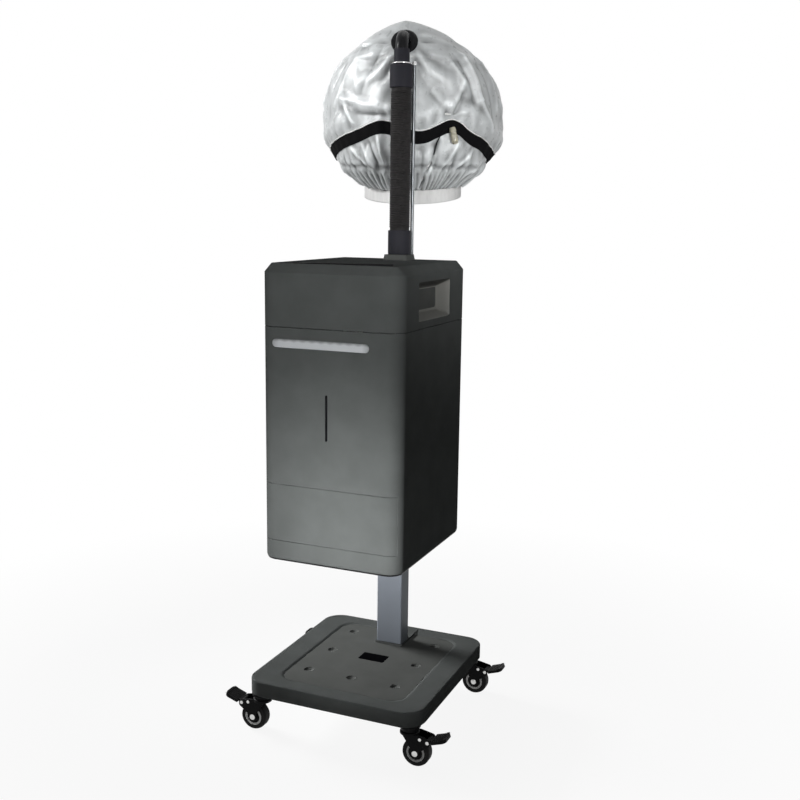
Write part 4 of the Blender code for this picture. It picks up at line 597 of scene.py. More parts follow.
def skin(rows, looped, capped=False):
    """Faces through rows of points of one length; looped joins the last row to the first."""
    width = len(rows[0])
    points = [point for row in rows for point in row]
    faces = []
    for row in range(len(rows) if looped else len(rows) - 1):
        below = row * width
        above = (row + 1) % len(rows) * width
        for near in range(width):
            far = (near + 1) % width
            faces.append((below + near, below + far, above + far, above + near))
    if capped:
        faces.append(tuple(reversed(range(width))))
        faces.append(tuple(range(len(points) - width, len(points))))
    return shape_of(points, faces)


def loft(rings):
    """Closed body through level rings."""
    return tidy(skin(rings, False, True))


def stacked(outline, steps):
    """Closed body through rings of one outline, each (level, what the outline takes)."""
    return loft([level_ring(outline(*sizes), level) for level, *sizes in steps])


def turned(profile, steps=48):
    """Body turned about Z from a closed profile of (radius, level)."""
    rows = []
    for step in range(steps):
        angle = math.tau * step / steps
        across, along = math.cos(angle), math.sin(angle)
        rows.append([(radius * across, radius * along, level) for radius, level in profile])
    return tidy(skin(rows, True))


def pin(radius, low, high, sides, soft_low=0.0, soft_high=0.0, steps=4):
    """Round bar along Z whose ends may be rounded over."""
    return turned(rounded([
        (0.0, low, 0), (radius, low, soft_low), (radius, high, soft_high), (0.0, high, 0)], steps), sides)


def hold(data, name="holder"):
    """An object of the scene that carries a mesh, a curve, a lamp or a camera."""
    holder = bpy.data.objects.new(name, data)
    scene.collection.objects.link(holder)
    return holder


def flattened(holder):
    """The holder's finished shape as a plain mesh. The holder goes."""
    graph = bpy.context.evaluated_depsgraph_get()
    mesh = bpy.data.meshes.new_from_object(holder.evaluated_get(graph), depsgraph=graph)
    bpy.data.objects.remove(holder)
    return mesh


def changed(mesh, kind, **settings):
    """The mesh after one modifier."""
    holder = hold(mesh)
    change = holder.modifiers.new("change", kind)
    for name, value in settings.items():
        setattr(change, name, value)
    return flattened(holder)


def combined(mesh, cutters, operation="DIFFERENCE"):
    """The mesh with others cut out of it, or joined to it."""
    for cutter in cutters:
        tool = hold(cutter)
        mesh = changed(mesh, "BOOLEAN", operation=operation, solver="EXACT", object=tool)
        bpy.data.objects.remove(tool)
    return mesh


def softened(mesh, width, angle=30.0):
    """The mesh with its sharp edges rounded over."""
    return changed(
        mesh, "BEVEL", width=width, segments=2, limit_method="ANGLE", angle_limit=math.radians(angle),
        use_clamp_overlap=True)


def curve_of(lines, closed, settings=None, flat=False):
    """Curve through lines of points."""
    curve = bpy.data.curves.new("lines", "CURVE")
    curve.dimensions = "2D" if flat else "3D"
    for name, value in (settings or {}).items():
        setattr(curve, name, value)
    for line in lines:
        spline = curve.splines.new("POLY")
        spline.points.add(len(line) - 1)
        for point, spot in zip(spline.points, line):
            point.co = (*spot, 0.0, 1.0) if flat else (*spot, 1.0)
        spline.use_cyclic_u = closed
    return curve


def slab(outlines, bottom, top, edge=0.0, segments=3):
    """Plate between two levels with rounded edges. Outlines inside the first are holes."""
    curve = curve_of(outlines, True, {
        "fill_mode": "BOTH", "extrude": (top - bottom) / 2 - edge, "bevel_depth": edge,
        "bevel_resolution": segments, "offset": -edge}, True)
    return shifted(tidy(flattened(hold(curve))), z=(bottom + top) / 2)


def tube(path, radius, sides=3, closed=False):
    """Round bar along a path."""
    curve = curve_of([path], closed, {
        "bevel_depth": radius, "bevel_resolution": sides, "use_fill_caps": True})
    return tidy(flattened(hold(curve)))


def moved(mesh, *matrices):
    for matrix in matrices:
        mesh.transform(matrix)
    return mesh


def shifted(mesh, x=0.0, y=0.0, z=0.0):
    return moved(mesh, Matrix.Translation((x, y, z)))


def settled(parts, *matrices):
    """Parts (mesh, finish), all moved alike."""
    return [(moved(mesh, *matrices), finish) for mesh, finish in parts]


def assembled(parts):
    """One mesh from several, each (mesh, finish)."""
    whole = bmesh.new()
    finishes = []
    for mesh, finish in parts:
        if finish not in finishes:
            finishes.append(finish)
        for face in mesh.polygons:
            face.material_index = finishes.index(finish)
        whole.from_mesh(mesh)
    mesh = bpy.data.meshes.new("assembled")
    whole.to_mesh(mesh)
    whole.free()
    for finish in finishes:
        mesh.materials.append(finish.material)
    return mesh


def mounted(name, mesh, body, nodes, finish):
    """A piece on its body, in place of the CAD nodes named."""
    mesh.name = name
    piece = hold(mesh, name)
    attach(piece, body)
    if nodes:
        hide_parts(*nodes)
    return piece


def place(name, parts, body, nodes=(), smooth=40.0, weighted=True):
    """A finished piece from its parts, with its faces smoothed."""
    mesh = assembled(parts)
    mesh.shade_smooth()
    mesh.set_sharp_from_angle(angle=math.radians(smooth))
    if weighted:
        mesh = changed(mesh, "WEIGHTED_NORMAL", keep_sharp=True)
    return mounted(name, mesh, body, nodes, parts[0][1])


class Rule(Graph):
    """A geometry tree with named inputs, whose result becomes a plain mesh."""

    def __init__(self, name, values):
        tree = bpy.data.node_groups.new(name, "GeometryNodeTree")
        super().__init__(tree)
        self.values = values
        self.keys = {}
        for label, value in values.items():
            kind = "NodeSocket" + type(value).__name__.title()
            socket = tree.interface.new_socket(label, in_out="INPUT", socket_type=kind)
            self.keys[label] = socket.identifier
        tree.interface.new_socket("Shape", in_out="OUTPUT", socket_type="NodeSocketGeometry")
        self.entry = tree.nodes.new("NodeGroupInput")
        self.exit = tree.nodes.new("NodeGroupOutput")

    def size(self, name):
        return Value(self, self.entry.outputs[name])

    def finished(self, shape, finish):
        """Run the tree and hand back its shape as a mesh."""
        shape = self.node("GeometryNodeRealizeInstances", None, {"Geometry": shape})
        shape = self.node("GeometryNodeSetMaterial", None, {"Geometry": shape, "Material": finish.material})
        self.feed(self.exit.inputs["Shape"], shape)
        holder = hold(bpy.data.meshes.new("rule"))
        change = holder.modifiers.new("rule", "NODES")
        change.node_group = self.tree
        for name, value in self.values.items():
            change[self.keys[name]] = value
        return flattened(holder)


def ribbed_hose():
    """Closed hose wall: ribbed outside, smooth bore inside."""
    sides = 64
    steps_per_rib = 8
    rule = Rule("ribbed_hose", {
        "Length": HOSE_LENGTH, "Crest": HOSE_RADIUS, "Root": HOSE_ROOT, "Bore": HOSE_BORE,
        "Ribs": HOSE_RIBS, "Plain End": HOSE_PLAIN_END})
    length, crest, root, bore, ribs, end = (rule.size(label) for label in rule.values)
    rows = HOSE_RIBS * steps_per_rib + 1
    grid = rule.node("GeometryNodeMeshGrid", None, {
        "Size X": 1.0, "Size Y": 1.0, "Vertices X": rows + 3, "Vertices Y": sides + 1})
    along, around, _ = rule.axes(rule.node("GeometryNodeInputPosition"))
    row = (along + 0.5) * (rows + 2)
    angle = (around + 0.5) * math.tau
    outside = row < rows - 0.5
    inside = 1 - outside
    closing = row > rows + 1.5
    share = (row / (rows - 1)) * outside
    level = share * length + inside * length * (row < rows + 0.5)
    plain = end / length
    phase = (share - plain) / (1 - 2 * plain) * ribs
    wave = (phase * math.tau).through("COSINE")
    ribbed = (share > plain) * (share < 1 - plain)
    swell = (0.5 - wave * 0.5) ** 0.6 * ribbed
    rib = root + (crest - root) * swell
    radius = rib * outside + bore * (inside - closing) + root * closing
    target = rule.node("ShaderNodeCombineXYZ", None, {
        0: radius * angle.through("COSINE"), 1: radius * angle.through("SINE"), 2: level})
    shape = rule.node("GeometryNodeSetPosition", None, {"Geometry": grid, "Position": target})
    shape = rule.node("GeometryNodeMergeByDistance", None, {"Geometry": shape, "Distance": MERGE_REACH})
    return tidy(rule.finished(shape, HOSE_BLACK))


def repeated(name, course, sample, finish, spacing=0.0):
    """Copies of a small shape on each point of a mesh, or spaced along a curve and lying along it."""
    course, sample = hold(course), hold(sample)
    rule = Rule(name, {"Course": course, "Sample": sample, "Spacing": spacing})
    spots, item = (rule.node("GeometryNodeObjectInfo", None, {"Object": rule.size(label)}, "Geometry")
                   for label in ("Course", "Sample"))
    if spacing:
        spots = rule.node("GeometryNodeResampleCurve", {"mode": "LENGTH"}, {
            "Curve": spots, "Length": rule.size("Spacing")})
        spots = rule.node("GeometryNodeCurveToPoints", {"mode": "EVALUATED"}, {"Curve": spots})
        inputs = {"Rotation": spots.beside("Rotation")}
    else:
        spots = rule.node("GeometryNodeMeshToPoints", None, {"Mesh": spots})
        inputs = {}
    copies = rule.node(
        "GeometryNodeInstanceOnPoints", None, {"Points": spots, "Instance": item, **inputs})
    mesh = rule.finished(copies, finish)
    bpy.data.objects.remove(course)
    bpy.data.objects.remove(sample)
    return mesh


def dome(radius, height, bottom=0.0, steps=24):
    """Low round cap on a flat foot."""
    rings = 5
    profile = [(0.0, bottom), (radius, bottom)]
    for ring in range(1, rings):
        share = ring / rings * math.pi / 2
        profile.append((radius * math.cos(share), bottom + height * math.sin(share)))
    profile.append((0.0, bottom + height))
    return turned(profile, steps)


def stitches(name, line, finish, spacing, length, thickness):
    """Raised stitches round a closed line, each pinched at both ends."""
    profile = [(0.0, -length / 2)]
    for share in (0.25, 0.7, 1.0, 0.7, 0.25):
        profile.append((thickness / 2 * share, length / 2 * (len(profile) / 3 - 1)))
    profile.append((0.0, length / 2))
    return repeated(name, curve_of([line], True), turned(profile, 6), finish, spacing)


def base_outline(inset, steps=14):
    return rectangle(
        BASE_WIDTH - 2 * inset, BASE_DEPTH - 2 * inset, BASE_RADIUS - inset, (0.0, 0.0), steps)


def mat_outline(side, front, back, corner):
    """Plan of the base's dish, notched for the column."""
    notch = COLUMN_WIDTH / 2 + NOTCH_MARGIN
    notch_front = COLUMN_Y - COLUMN_DEPTH / 2 - NOTCH_MARGIN
    return rounded([
        (side, back, corner), (notch, back, 0.003), (notch, notch_front, 0.003),
        (-notch, notch_front, 0.003), (-notch, back, 0.003), (-side, back, corner),
        (-side, front, corner), (side, front, corner)], 10)


def make_base():
    """Rim that slopes in to a shallow dish, the panel in the dish and the black plate in its middle."""
    round_over, foot = 0.003, 0.002
    rim = [(BASE_BOTTOM, foot), (BASE_BOTTOM + foot, 0.0)]
    for step in range(7):
        share = step / 6 * math.pi / 2
        rim.append((BASE_TOP - round_over * (1 - math.sin(share)), round_over * (1 - math.cos(share))))
    recess = []
    for outward, corner, level in (
            (0.0, 0.036, 0.1165), (0.0005, 0.036, DISH - 0.0002), (0.0030, 0.038, DISH + 0.0008),
            (0.0060, 0.040, DISH + 0.0019), (0.0085, 0.040, DISH + 0.0023)):
        recess.append((level, 0.149 + outward, -0.172 - outward, 0.184 + outward, corner))
    recess += [(level, 0.201, -0.211, 0.211, 0.038) for level in (BASE_TOP - 0.0001, BASE_TOP + 0.006)]
    pocket = slab([base_outline(0.004, 8)], BASE_BOTTOM - 0.004, 0.115)
    hole = slab([rectangle(COLUMN_WIDTH + 0.004, COLUMN_DEPTH + 0.004, 0.005, COLUMN_SPOT)], 0.110, 0.135)
    shell = combined(stacked(base_outline, rim), [stacked(mat_outline, recess), pocket, hole])
    place("base_rim", [(shell, CASING)], "stand", ["base_shell"], 25.0)

    low = 0.1168
    window = rectangle(0.064, 0.038, 0.002, (0.0, DIMPLE_Y), 4)
    mat = slab([mat_outline(0.1496, -0.1726, 0.1846, 0.036), window], low, DISH, 0.0004)
    radius, depth = 0.0115, 0.0034
    sphere = (radius ** 2 + depth ** 2) / (2 * depth)
    profile = [(0.0, 0.004), (radius, 0.004)]
    for step in range(9):
        reach = radius * (1 - step / 8)
        profile.append((reach, sphere - depth - math.sqrt(sphere ** 2 - reach ** 2)))
    bowls = []
    for column in (-1, 0, 1):
        for row in (-1, 0, 1):
            if column or row < 0:
                spot = (column * DIMPLE_PITCH_X, DIMPLE_Y + row * DIMPLE_PITCH_Y, DISH)
                bowls.append(shifted(turned(profile, 40), *spot))
    place("base_mat_panel", [(combined(mat, bowls), TRIM_GREY)], "stand", ["base_mat"], 25.0)
    insert = slab([rectangle(0.0632, 0.0372, 0.0018, (0.0, DIMPLE_Y), 4)], low, DISH + 0.0005, 0.0006)
    place("base_insert_plate", [(insert, INSERT_BLACK)], "stand", ["base_insert"])


def make_column():
    low, high = 0.0983, CABINET_BOTTOM - HAIRLINE
    plate, wall, over = 0.006, 0.003, 0.01

    def section(wider, deeper, radius):
        return [rectangle(COLUMN_WIDTH + wider, COLUMN_DEPTH + deeper, radius, COLUMN_SPOT)]

    post = slab(section(0.0, 0.0, 0.0035), low, high)
    post = combined(post, [slab(section(-2 * wall, -2 * wall, 0.002), low - over, high + over)])
    post = combined(post, [
        slab(section(0.046, 0.036, 0.004), low, low + plate, 0.0008),
        slab(section(0.076, 0.010, 0.004), high - plate, high, 0.0008)], "UNION")
    place("column_post", [(post, COLUMN_GREY)], "stand", ["column"], 25.0)


def wheel_parts():
    half, rim = 0.012, 0.0205
    tyre = [
        (rim, -half, 0.0005), (WHEEL_RADIUS - 0.0015, -half, 0.0018),
        (WHEEL_RADIUS, -half + 0.0045, 0.0035)]
    hub = [
        (0.0044, -0.0132, 0.0004), (0.0095, -0.0132, 0.0008), (0.0105, -0.0098, 0.0015),
        (0.0155, -0.0098, 0.0010), (0.0158, -0.0108, 0.0003), (0.0206, -0.0108, 0.0003)]
    parts = []
    for side, steps, finish in ((tyre, 4, TYRE_BLACK), (hub, 3, BLACK)):
        other = [(radius, -level, soft) for radius, level, soft in reversed(side)]
        parts.append((turned(rounded(side + other, steps), 64), finish))
    for face in (-1, 1):
        ring = rounded([
            (0.0156, face * 0.0100, 0), (0.0205, face * 0.0100, 0),
            (0.0205, face * 0.0124, 0.0006), (0.0156, face * 0.0124, 0.0006)], 3)
        parts.append((turned(ring, 64), WHEEL_RING))
    return settled(parts, FACE_FRONT, Matrix.Translation(AXLE_PLACE))


def fork_parts():
    low, high, radius = 0.0689, 0.0754, 0.0215
    crown = rounded([
        (0.0054, low, 0), (radius, low, 0.0010), (radius, high, 0.0030), (0.0054, high, 0)], 5)
    cheek = rounded([
        (0.0525, 0.0675, 0.0058), (0.0210, 0.0735, 0.0060), (-0.0140, 0.0735, 0.0020),
        (0.0080, 0.0410, 0.0080), (0.0080, 0.0210, 0.0090), (0.0280, 0.0210, 0.0090),
        (0.0280, 0.0370, 0.0060), (0.0525, 0.0545, 0.0058)], 6)
    holes = [
        circle(0.0043, (AXLE_PLACE.x, AXLE_PLACE.z), 24), circle(0.0033, (PEDAL_PLACE.x, PEDAL_PLACE.z), 20)]
    parts = [(turned(crown), BLACK)]
    for near in (-CHEEK_OUTER, CHEEK_INNER):
        plate = slab([cheek] + holes, near, near + CHEEK_OUTER - CHEEK_INNER, 0.0006, 2)
        parts.append((moved(plate, FACE_FRONT), BLACK))
    return parts


def rivet(radius, height, x, z, side, level):
    cap = dome(radius, height)
    turn = FACE_FRONT if side < 0 else FACE_BACK
    return shifted(moved(cap, turn), x, side * level, z)


def axle_parts():
    bar = pin(0.0039, -CHEEK_OUTER, CHEEK_OUTER, 24)
    parts = [(moved(bar, FACE_FRONT, Matrix.Translation(AXLE_PLACE)), STEEL)]
    for side in (-1, 1):
        parts.append((rivet(0.0066, 0.0024, AXLE_PLACE.x, AXLE_PLACE.z, side, CHEEK_OUTER), STEEL))
        parts.append((rivet(0.0038, 0.0018, 0.0290, 0.0655, side, CHEEK_OUTER), STEEL))
    return parts


def pedal_parts():
    """Brake pedal about its pivot: foot plate with cross ribs and a raised tip."""
    wide, inner, root, end, pin_end = 0.021, 0.0130, 0.0088, 0.044, CHEEK_OUTER - HAIRLINE
    half = [(end, wide, 0.0110), (root, wide, 0.0020), (root, inner, 0), (-0.001, inner, 0)]
    plate = half + [(x, -y, soft) for x, y, soft in reversed(half)]
    lever = slab([rounded(plate)], -0.0034, 0.0030, 0.0012)
    half = [(0.0432, 0.0190, 0.0095), (0.0395, 0.0190, 0.0015)]
    tip = half + [(x, -y, soft) for x, y, soft in reversed(half)]
    tip = slab([rounded(tip, 6)], 0.0025, 0.0046, 0.0008, 2)
    barrel = pin(0.0052, -inner, inner, 32, 0.0005, 0.0005, 8)
    spots = shape_of([(0.0130 + rib * 0.0044, 0.0, 0.0) for rib in range(6)])
    rib = slab([rectangle(0.0018, 0.032, 0.0008, steps=3)], 0.0026, 0.0040, 0.0005, 1)
    parts = [
        (lever, BLACK), (moved(barrel, FACE_FRONT), BLACK),
        (moved(pin(0.0030, -pin_end, pin_end, 24), FACE_FRONT), STEEL), (tip, BLACK),
        (repeated("pedal_ribs", spots, rib, BLACK), BLACK)]
    for side in (-1, 1):
        parts.append((rivet(0.0042, 0.0020, 0.0, 0.0, side, pin_end), STEEL))
    return settled(parts, Matrix.Rotation(-PEDAL_TILT, 4, "Y"), Matrix.Translation(PEDAL_PLACE))


def head_parts():
    plate = rounded([
        (0.0, 0.0757, 0), (0.0195, 0.0757, 0.0030), (0.0205, 0.0815, 0.0020), (0.0240, 0.0850, 0.0020),
        (0.0240, 0.0897, 0.0010), (0.0, 0.0897, 0)], 4)
    return [(turned(plate), BLACK)]


def make_casters():
    for corner, across, along in (
            ("front_left", -1, -1), ("front_right", 1, -1), ("rear_left", -1, 1), ("rear_right", 1, 1)):
        seat = Matrix.Translation((across * CASTER_X, along * CASTER_Y, 0.0))
        if across < 0:
            seat = seat @ Matrix.Rotation(math.pi, 4, "Z")
        caster = "caster_" + corner
        for part, parts, body in (
                ("head", head_parts(), "stand"),
                ("fork", fork_parts(), caster + "_swivel"),
                ("axle", axle_parts(), caster + "_swivel"),
                ("wheel", wheel_parts(), caster + "_roll"),
                ("pedal", pedal_parts(), caster + "_brake")):
            place(corner + "_" + part, settled(parts, seat), body, [caster + "_" + part], 35.0)


def cabinet_outline(inset, radius=None, steps=14):
    corner = CABINET_RADIUS - inset if radius is None else radius
    return rectangle(
        CABINET_WIDTH - 2 * inset, CABINET_DEPTH - 2 * inset, corner, (0.0, CABINET_Y), steps)


def upright(outline, bottom, top, turn, at, edge=0.0):
    """Slab standing on edge, facing the way it is turned."""
    return moved(slab([outline], bottom, top, edge), turn, Matrix.Translation(at))


def block(low, high):
    (x, y, z), (far_x, far_y, far_z) = low, high
    return loft([
        [(x, y, z), (far_x, y, z), (far_x, far_y, z), (x, far_y, z)],
        [(x, y, far_z), (far_x, y, far_z), (far_x, far_y, far_z), (x, far_y, far_z)]])


def make_cabinet():
    shell = stacked(cabinet_outline, [
        (CABINET_BOTTOM - 0.0025, FOOT_CHAMFER), (CABINET_BOTTOM - 0.0019, FOOT_CHAMFER - 0.002),
        (CABINET_BOTTOM + FOOT_CHAMFER - 0.0030, 0.0006), (CABINET_BOTTOM + FOOT_CHAMFER, 0.0),
        (SHELL_TOP - SEAM_EDGE, 0.0), (SHELL_TOP, SEAM_EDGE)])
    hollow = slab([cabinet_outline(CABINET_WALL)], CABINET_BOTTOM + CABINET_WALL, 0.95)
    drawer_top = DRAWER_BOTTOM + DRAWER_HEIGHT
    gaps = [block(
        (-CABINET_WIDTH, CABINET_FRONT - THROUGH, DRAWER_BOTTOM),
        (CABINET_WIDTH, CABINET_FRONT + DRAWER_WRAP + 0.0008, drawer_top))]
    for size, turn, at in (
            (LIGHT_BAR_SIZE, FACE_FRONT, LIGHT_BAR_PLACE), (WINDOW_SIZE, FACE_FRONT, WINDOW_PLACE),
            (REAR_PANEL_SIZE, FACE_BACK, REAR_PANEL_PLACE)):
        gaps.append(upright(fitted(size, HAIRLINE), -THROUGH, THROUGH, turn, at))
    shell = combined(combined(shell, [hollow]), gaps)
    # Black band round the foot chamfer: painted shade along the cabinet's bottom edge, made as a part.
    shadow_band = stacked(cabinet_outline, [(CABINET_BOTTOM + rise, inset) for inset, rise in (
        (FOOT_CHAMFER - 0.0005, -0.0031), (0.0032, -0.0024), (0.0012, 0.0012), (0.0030, 0.0016))])
    parts = [(softened(shell, 0.0006, 50.0), CASING), (shadow_band, BLACK)]
    place("cabinet_casing", parts, "stand", ["cabinet_shell"], 35.0)

    bar = upright(fitted(LIGHT_BAR_SIZE), -0.0058, 0.0010, FACE_FRONT, LIGHT_BAR_PLACE, 0.0012)
    place("lamp_lens", [(bar, LENS)], "stand", ["light_bar"])
    pane = upright(fitted(WINDOW_SIZE), -0.009, -0.0005, FACE_FRONT, WINDOW_PLACE, 0.0004)
    place("sight_glass", [(pane, DARK_GLASS)], "stand", ["level_window"])

    front = slab([cabinet_outline(0.0)], DRAWER_BOTTOM + SEAM_EDGE, drawer_top - SEAM_EDGE)
    keep = block((-0.2, CABINET_FRONT - THROUGH, 0.3), (0.2, CABINET_FRONT + DRAWER_WRAP, 0.7))
    front = softened(combined(front, [keep], "INTERSECT"), 0.0006, 50.0)
    place("drawer_panel", [(front, CASING)], "drawer", ["drawer_front"], 35.0)


def make_top():
    slope = TOP_CHAMFER / (CABINET_TOP - CHAMFER_START)
    soft = 0.0008
    cover = stacked(cabinet_outline, [
        (SEAM, SEAM_EDGE), (SEAM + SEAM_EDGE, 0.0), (CHAMFER_START - soft, 0.0),
        (CHAMFER_START + soft, soft * slope * 0.8, MITRE_RADIUS + 0.024),
        (CABINET_TOP - soft, TOP_CHAMFER - soft, MITRE_RADIUS),
        (CABINET_TOP, TOP_CHAMFER + soft, MITRE_RADIUS)])
    hollow = stacked(cabinet_outline, [
        (SEAM - 0.01, CABINET_WALL), (CHAMFER_START - 0.001, CABINET_WALL),
        (CABINET_TOP - CABINET_WALL, TOP_CHAMFER + 0.001)])
    inner = TOP_CHAMFER + TOP_RIM
    gaps = [slab([cabinet_outline(inner, MITRE_RADIUS)], CABINET_TOP - THROUGH, CABINET_TOP + THROUGH)]
    mouth = rectangle(POCKET_WIDTH, POCKET_HEIGHT, POCKET_RADIUS)
    for side, turn in ((1, FACE_RIGHT), (-1, FACE_LEFT)):
        gaps.append(upright(
            mouth, -THROUGH, THROUGH, turn, (side * CABINET_WIDTH / 2, HANDLE_Y, HANDLE_LEVEL)))
    cover = combined(combined(cover, [hollow]), gaps)
    place("top_casing", [(softened(cover, 0.0005, 50.0), CASING)], "stand", ["top_cover"], 25.0)

    outline = cabinet_outline(inner + HAIRLINE, MITRE_RADIUS - HAIRLINE)
    holes = [circle(0.0185, TUBE[:2]), circle(ROD_HOLE, (TUBE.x + ROD_OFFSET, TUBE.y + ROD_OFFSET))]
    panel = slab([outline] + holes, PANEL_TOP - 0.004, PANEL_TOP, 0.0006)
    place("top_tray", [(panel, CASING)], "stand", ["top_panel"])
    # Black wedge along the front of the top panel: a painted shadow of the gap behind the front rim, made as
    # a strip.
    near = CABINET_FRONT + inner + 0.0016
    far, low = near + 0.004, PANEL_TOP - 0.001
    rows = []
    for x, rise in ((-0.125, 0.0022), (0.130, 0.0058)):
        high = PANEL_TOP + rise
        rows.append([(x, near, low), (x, far, low), (x, far, high), (x, near, high)])
    place("top_gasket", [(softened(loft(rows), 0.0004), BLACK)], "stand")
    make_pocket("right", 1, FACE_RIGHT)
    make_pocket("left", -1, FACE_LEFT)


def make_pocket(name, side, turn):
    """Carrying pocket, flush with the edge of its opening."""
    draft, depth = POCKET_DRAFT, POCKET_DEPTH

    def section(reach, steps=6):
        return rectangle(POCKET_WIDTH - 2 * reach, POCKET_HEIGHT - 2 * reach, POCKET_RADIUS, steps=steps)

    rims = [level_ring(section(reach), level) for reach, level in (
        (HAIRLINE, -0.0006), (0.0010, -0.0016), (draft - 0.002, -depth + 0.002), (draft + 0.002, -depth))]
    body = bmesh.new()
    body.from_mesh(skin(rims, False))
    body.verts.ensure_lookup_table()
    body.faces.new(body.verts[-len(rims[0]):])
    bmesh.ops.recalc_face_normals(body, faces=body.faces)
    bmesh.ops.reverse_faces(body, faces=body.faces)
    cup = bpy.data.meshes.new("cup")
    body.to_mesh(cup)
    body.free()
    cup = changed(cup, "SOLIDIFY", thickness=0.0022, offset=-1.0)
    plate = slab([section(draft + 0.0035, 8)], -depth - 0.0004, -depth + 0.0008, 0.0004)
    seat = Matrix.Translation((side * CABINET_WIDTH / 2, HANDLE_Y, HANDLE_LEVEL))
    # The walls take the paler, painted-light grey; the plate at their back keeps the trim's own grey.
    parts = settled([(cup, POCKET_LIT_GREY), (plate, TRIM_GREY)], turn, seat)
    place("handle_pocket_" + name, parts, "stand", ["handle_cup_" + name], 35.0)


def make_back():
    inlet = (INLET_X, INLET_DROP)
    holes = [fitted(INLET_SIZE, HAIRLINE, inlet), rectangle(0.014, 0.026, 0.001, (SWITCH_X, INLET_DROP), 3)]
    for index in range(6):
        holes.append(rectangle(0.120, 0.005, 0.0024, (0.0, 0.075 + (index - 2.5) * 0.012), 5))
    plate = slab([fitted(REAR_PANEL_SIZE)] + holes, -CABINET_WALL, 0.0, 0.0005, 2)
    seat = Matrix.Translation(REAR_PANEL_PLACE) @ FACE_BACK
    place("service_panel", [(moved(plate, seat), CASING)], "stand", ["rear_panel"])

    body = slab([fitted(INLET_SIZE, centre=inlet)], -0.024, 0.0012, 0.0008)
    socket = slab([rectangle(0.026, 0.018, 0.004, inlet)], -0.014, 0.01)
    parts = [(combined(body, [socket]), BLACK)]
    for x, drop in ((-0.007, -0.002), (0.0, 0.002), (0.007, -0.002)):
        blade = rectangle(0.002, 0.0045, 0.0005, (INLET_X + x, INLET_DROP + drop), 3)
        parts.append((slab([blade], -0.016, -0.002, 0.0005, 1), STEEL))
    place("power_inlet", settled(parts, seat), "stand", ["mains_inlet"])

    wide, thin, low, high = 0.0022, 0.0004, 0.0006, 0.003
    head = combined(dome(0.0036, 0.0016, 0.0, 28), [
        block((-wide, -thin, low), (wide, thin, high)), block((-thin, -wide, low), (thin, wide, high))])
    spots = shape_of([(x, z, 0.0) for x in (-0.110, 0.110) for z in (-0.190, 0.0, 0.190)])
    screws = repeated("panel_screws", spots, head, STEEL)
    place("panel_screws", [(moved(screws, seat), STEEL)], "stand")


def make_hose():
    half, flare, corner = 0.0272, 0.003, 0.006
    bottom = 1.0516
    steps = []
    for share, rise in (
            (0.0, 0.0), (0.25, 0.0012), (0.6, 0.0045), (0.9, 0.0095), (1.0, 0.0112), (1.08, 0.0122)):
        spare = flare * (1 - share)
        steps.append((bottom + rise, 2 * (half + spare), 2 * (half + spare), corner + spare))
    low, high = bottom - 0.02, bottom + 0.03
    collar = combined(stacked(rectangle, steps), [
        pin(HOSE_BORE, low, high, 48), shifted(pin(ROD_HOLE, low, high, 32), ROD_OFFSET, ROD_OFFSET)])
    place("hose_socket", [(shifted(collar, *TUBE), TRIM_GREY)], "stand", ["hose_collar"], 30.0)

    low, high = 1.0641, HOSE_BOTTOM - HAIRLINE
    lower = [
        (HOSE_BORE, low, 0), (CUFF_RADIUS - 0.001, low, 0.0004), (CUFF_RADIUS, low + 0.0019, 0.0010),
        (CUFF_RADIUS, high, 0.0022), (HOSE_BORE, high, 0.0004)]
    socket, shelf = NECK_RADIUS + 0.0005, UPPER_CUFF_TOP - 0.030
    upper = [
        (HOSE_BORE, UPPER_CUFF_BOTTOM, 0.0004), (CUFF_RADIUS, UPPER_CUFF_BOTTOM, 0.0020),
        (CUFF_RADIUS, UPPER_CUFF_TOP, 0.0016), (socket, UPPER_CUFF_TOP, 0.0004), (socket, shelf, 0),
        (HOSE_BORE, shelf, 0)]
    for name, profile, body in (("lower", lower, "stand"), ("upper", upper, "mast")):
        sleeve = shifted(turned(rounded(profile, 5), 72), *TUBE)
        place(name + "_sleeve", [(sleeve, CUFF_BLACK)], body, [name + "_cuff"], 30.0)

    hose = shifted(ribbed_hose(), TUBE.x, TUBE.y, HOSE_BOTTOM)
    piece = place("ribbed_hose", [(hose, HOSE_BLACK)], "stand", ["steam_hose"], 60.0, False)
    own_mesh(piece)

    beside = (TUBE.x + ROD_OFFSET, TUBE.y + ROD_OFFSET)
    rod = pin(0.004, 0.9723, UPPER_CUFF_TOP - HAIRLINE / 3, 40, 0.0008, 0.0004)
    place("chrome_rod", [(shifted(rod, *beside), ROD_SHADED_CHROME)], "mast", ["support_rod"], 30.0)

    loop = level_ring(circle(0.0199, TUBE[:2], 72), RING_LEVEL)
    reach = math.sqrt(0.5) * 0.0195
    arm = [(TUBE.x + reach, TUBE.y + reach, RING_LEVEL), (*beside, RING_LEVEL)]
    ear = pin(0.0055, UPPER_CUFF_TOP + HAIRLINE, UPPER_CUFF_TOP + 0.0083, 32, 0.0008, 0.0018)
    bead = shifted(dome(0.0030, 0.0026, -0.0013, 20), TUBE.x - 0.0212, TUBE.y - 0.0015, RING_LEVEL)
    meshes = (tube(loop, 0.002, 4, True), tube(arm, 0.0019, 4), shifted(ear, *beside), bead)
    place("neck_ring", [(mesh, CHROME) for mesh in meshes], "mast", ["rod_ring"], 40.0)


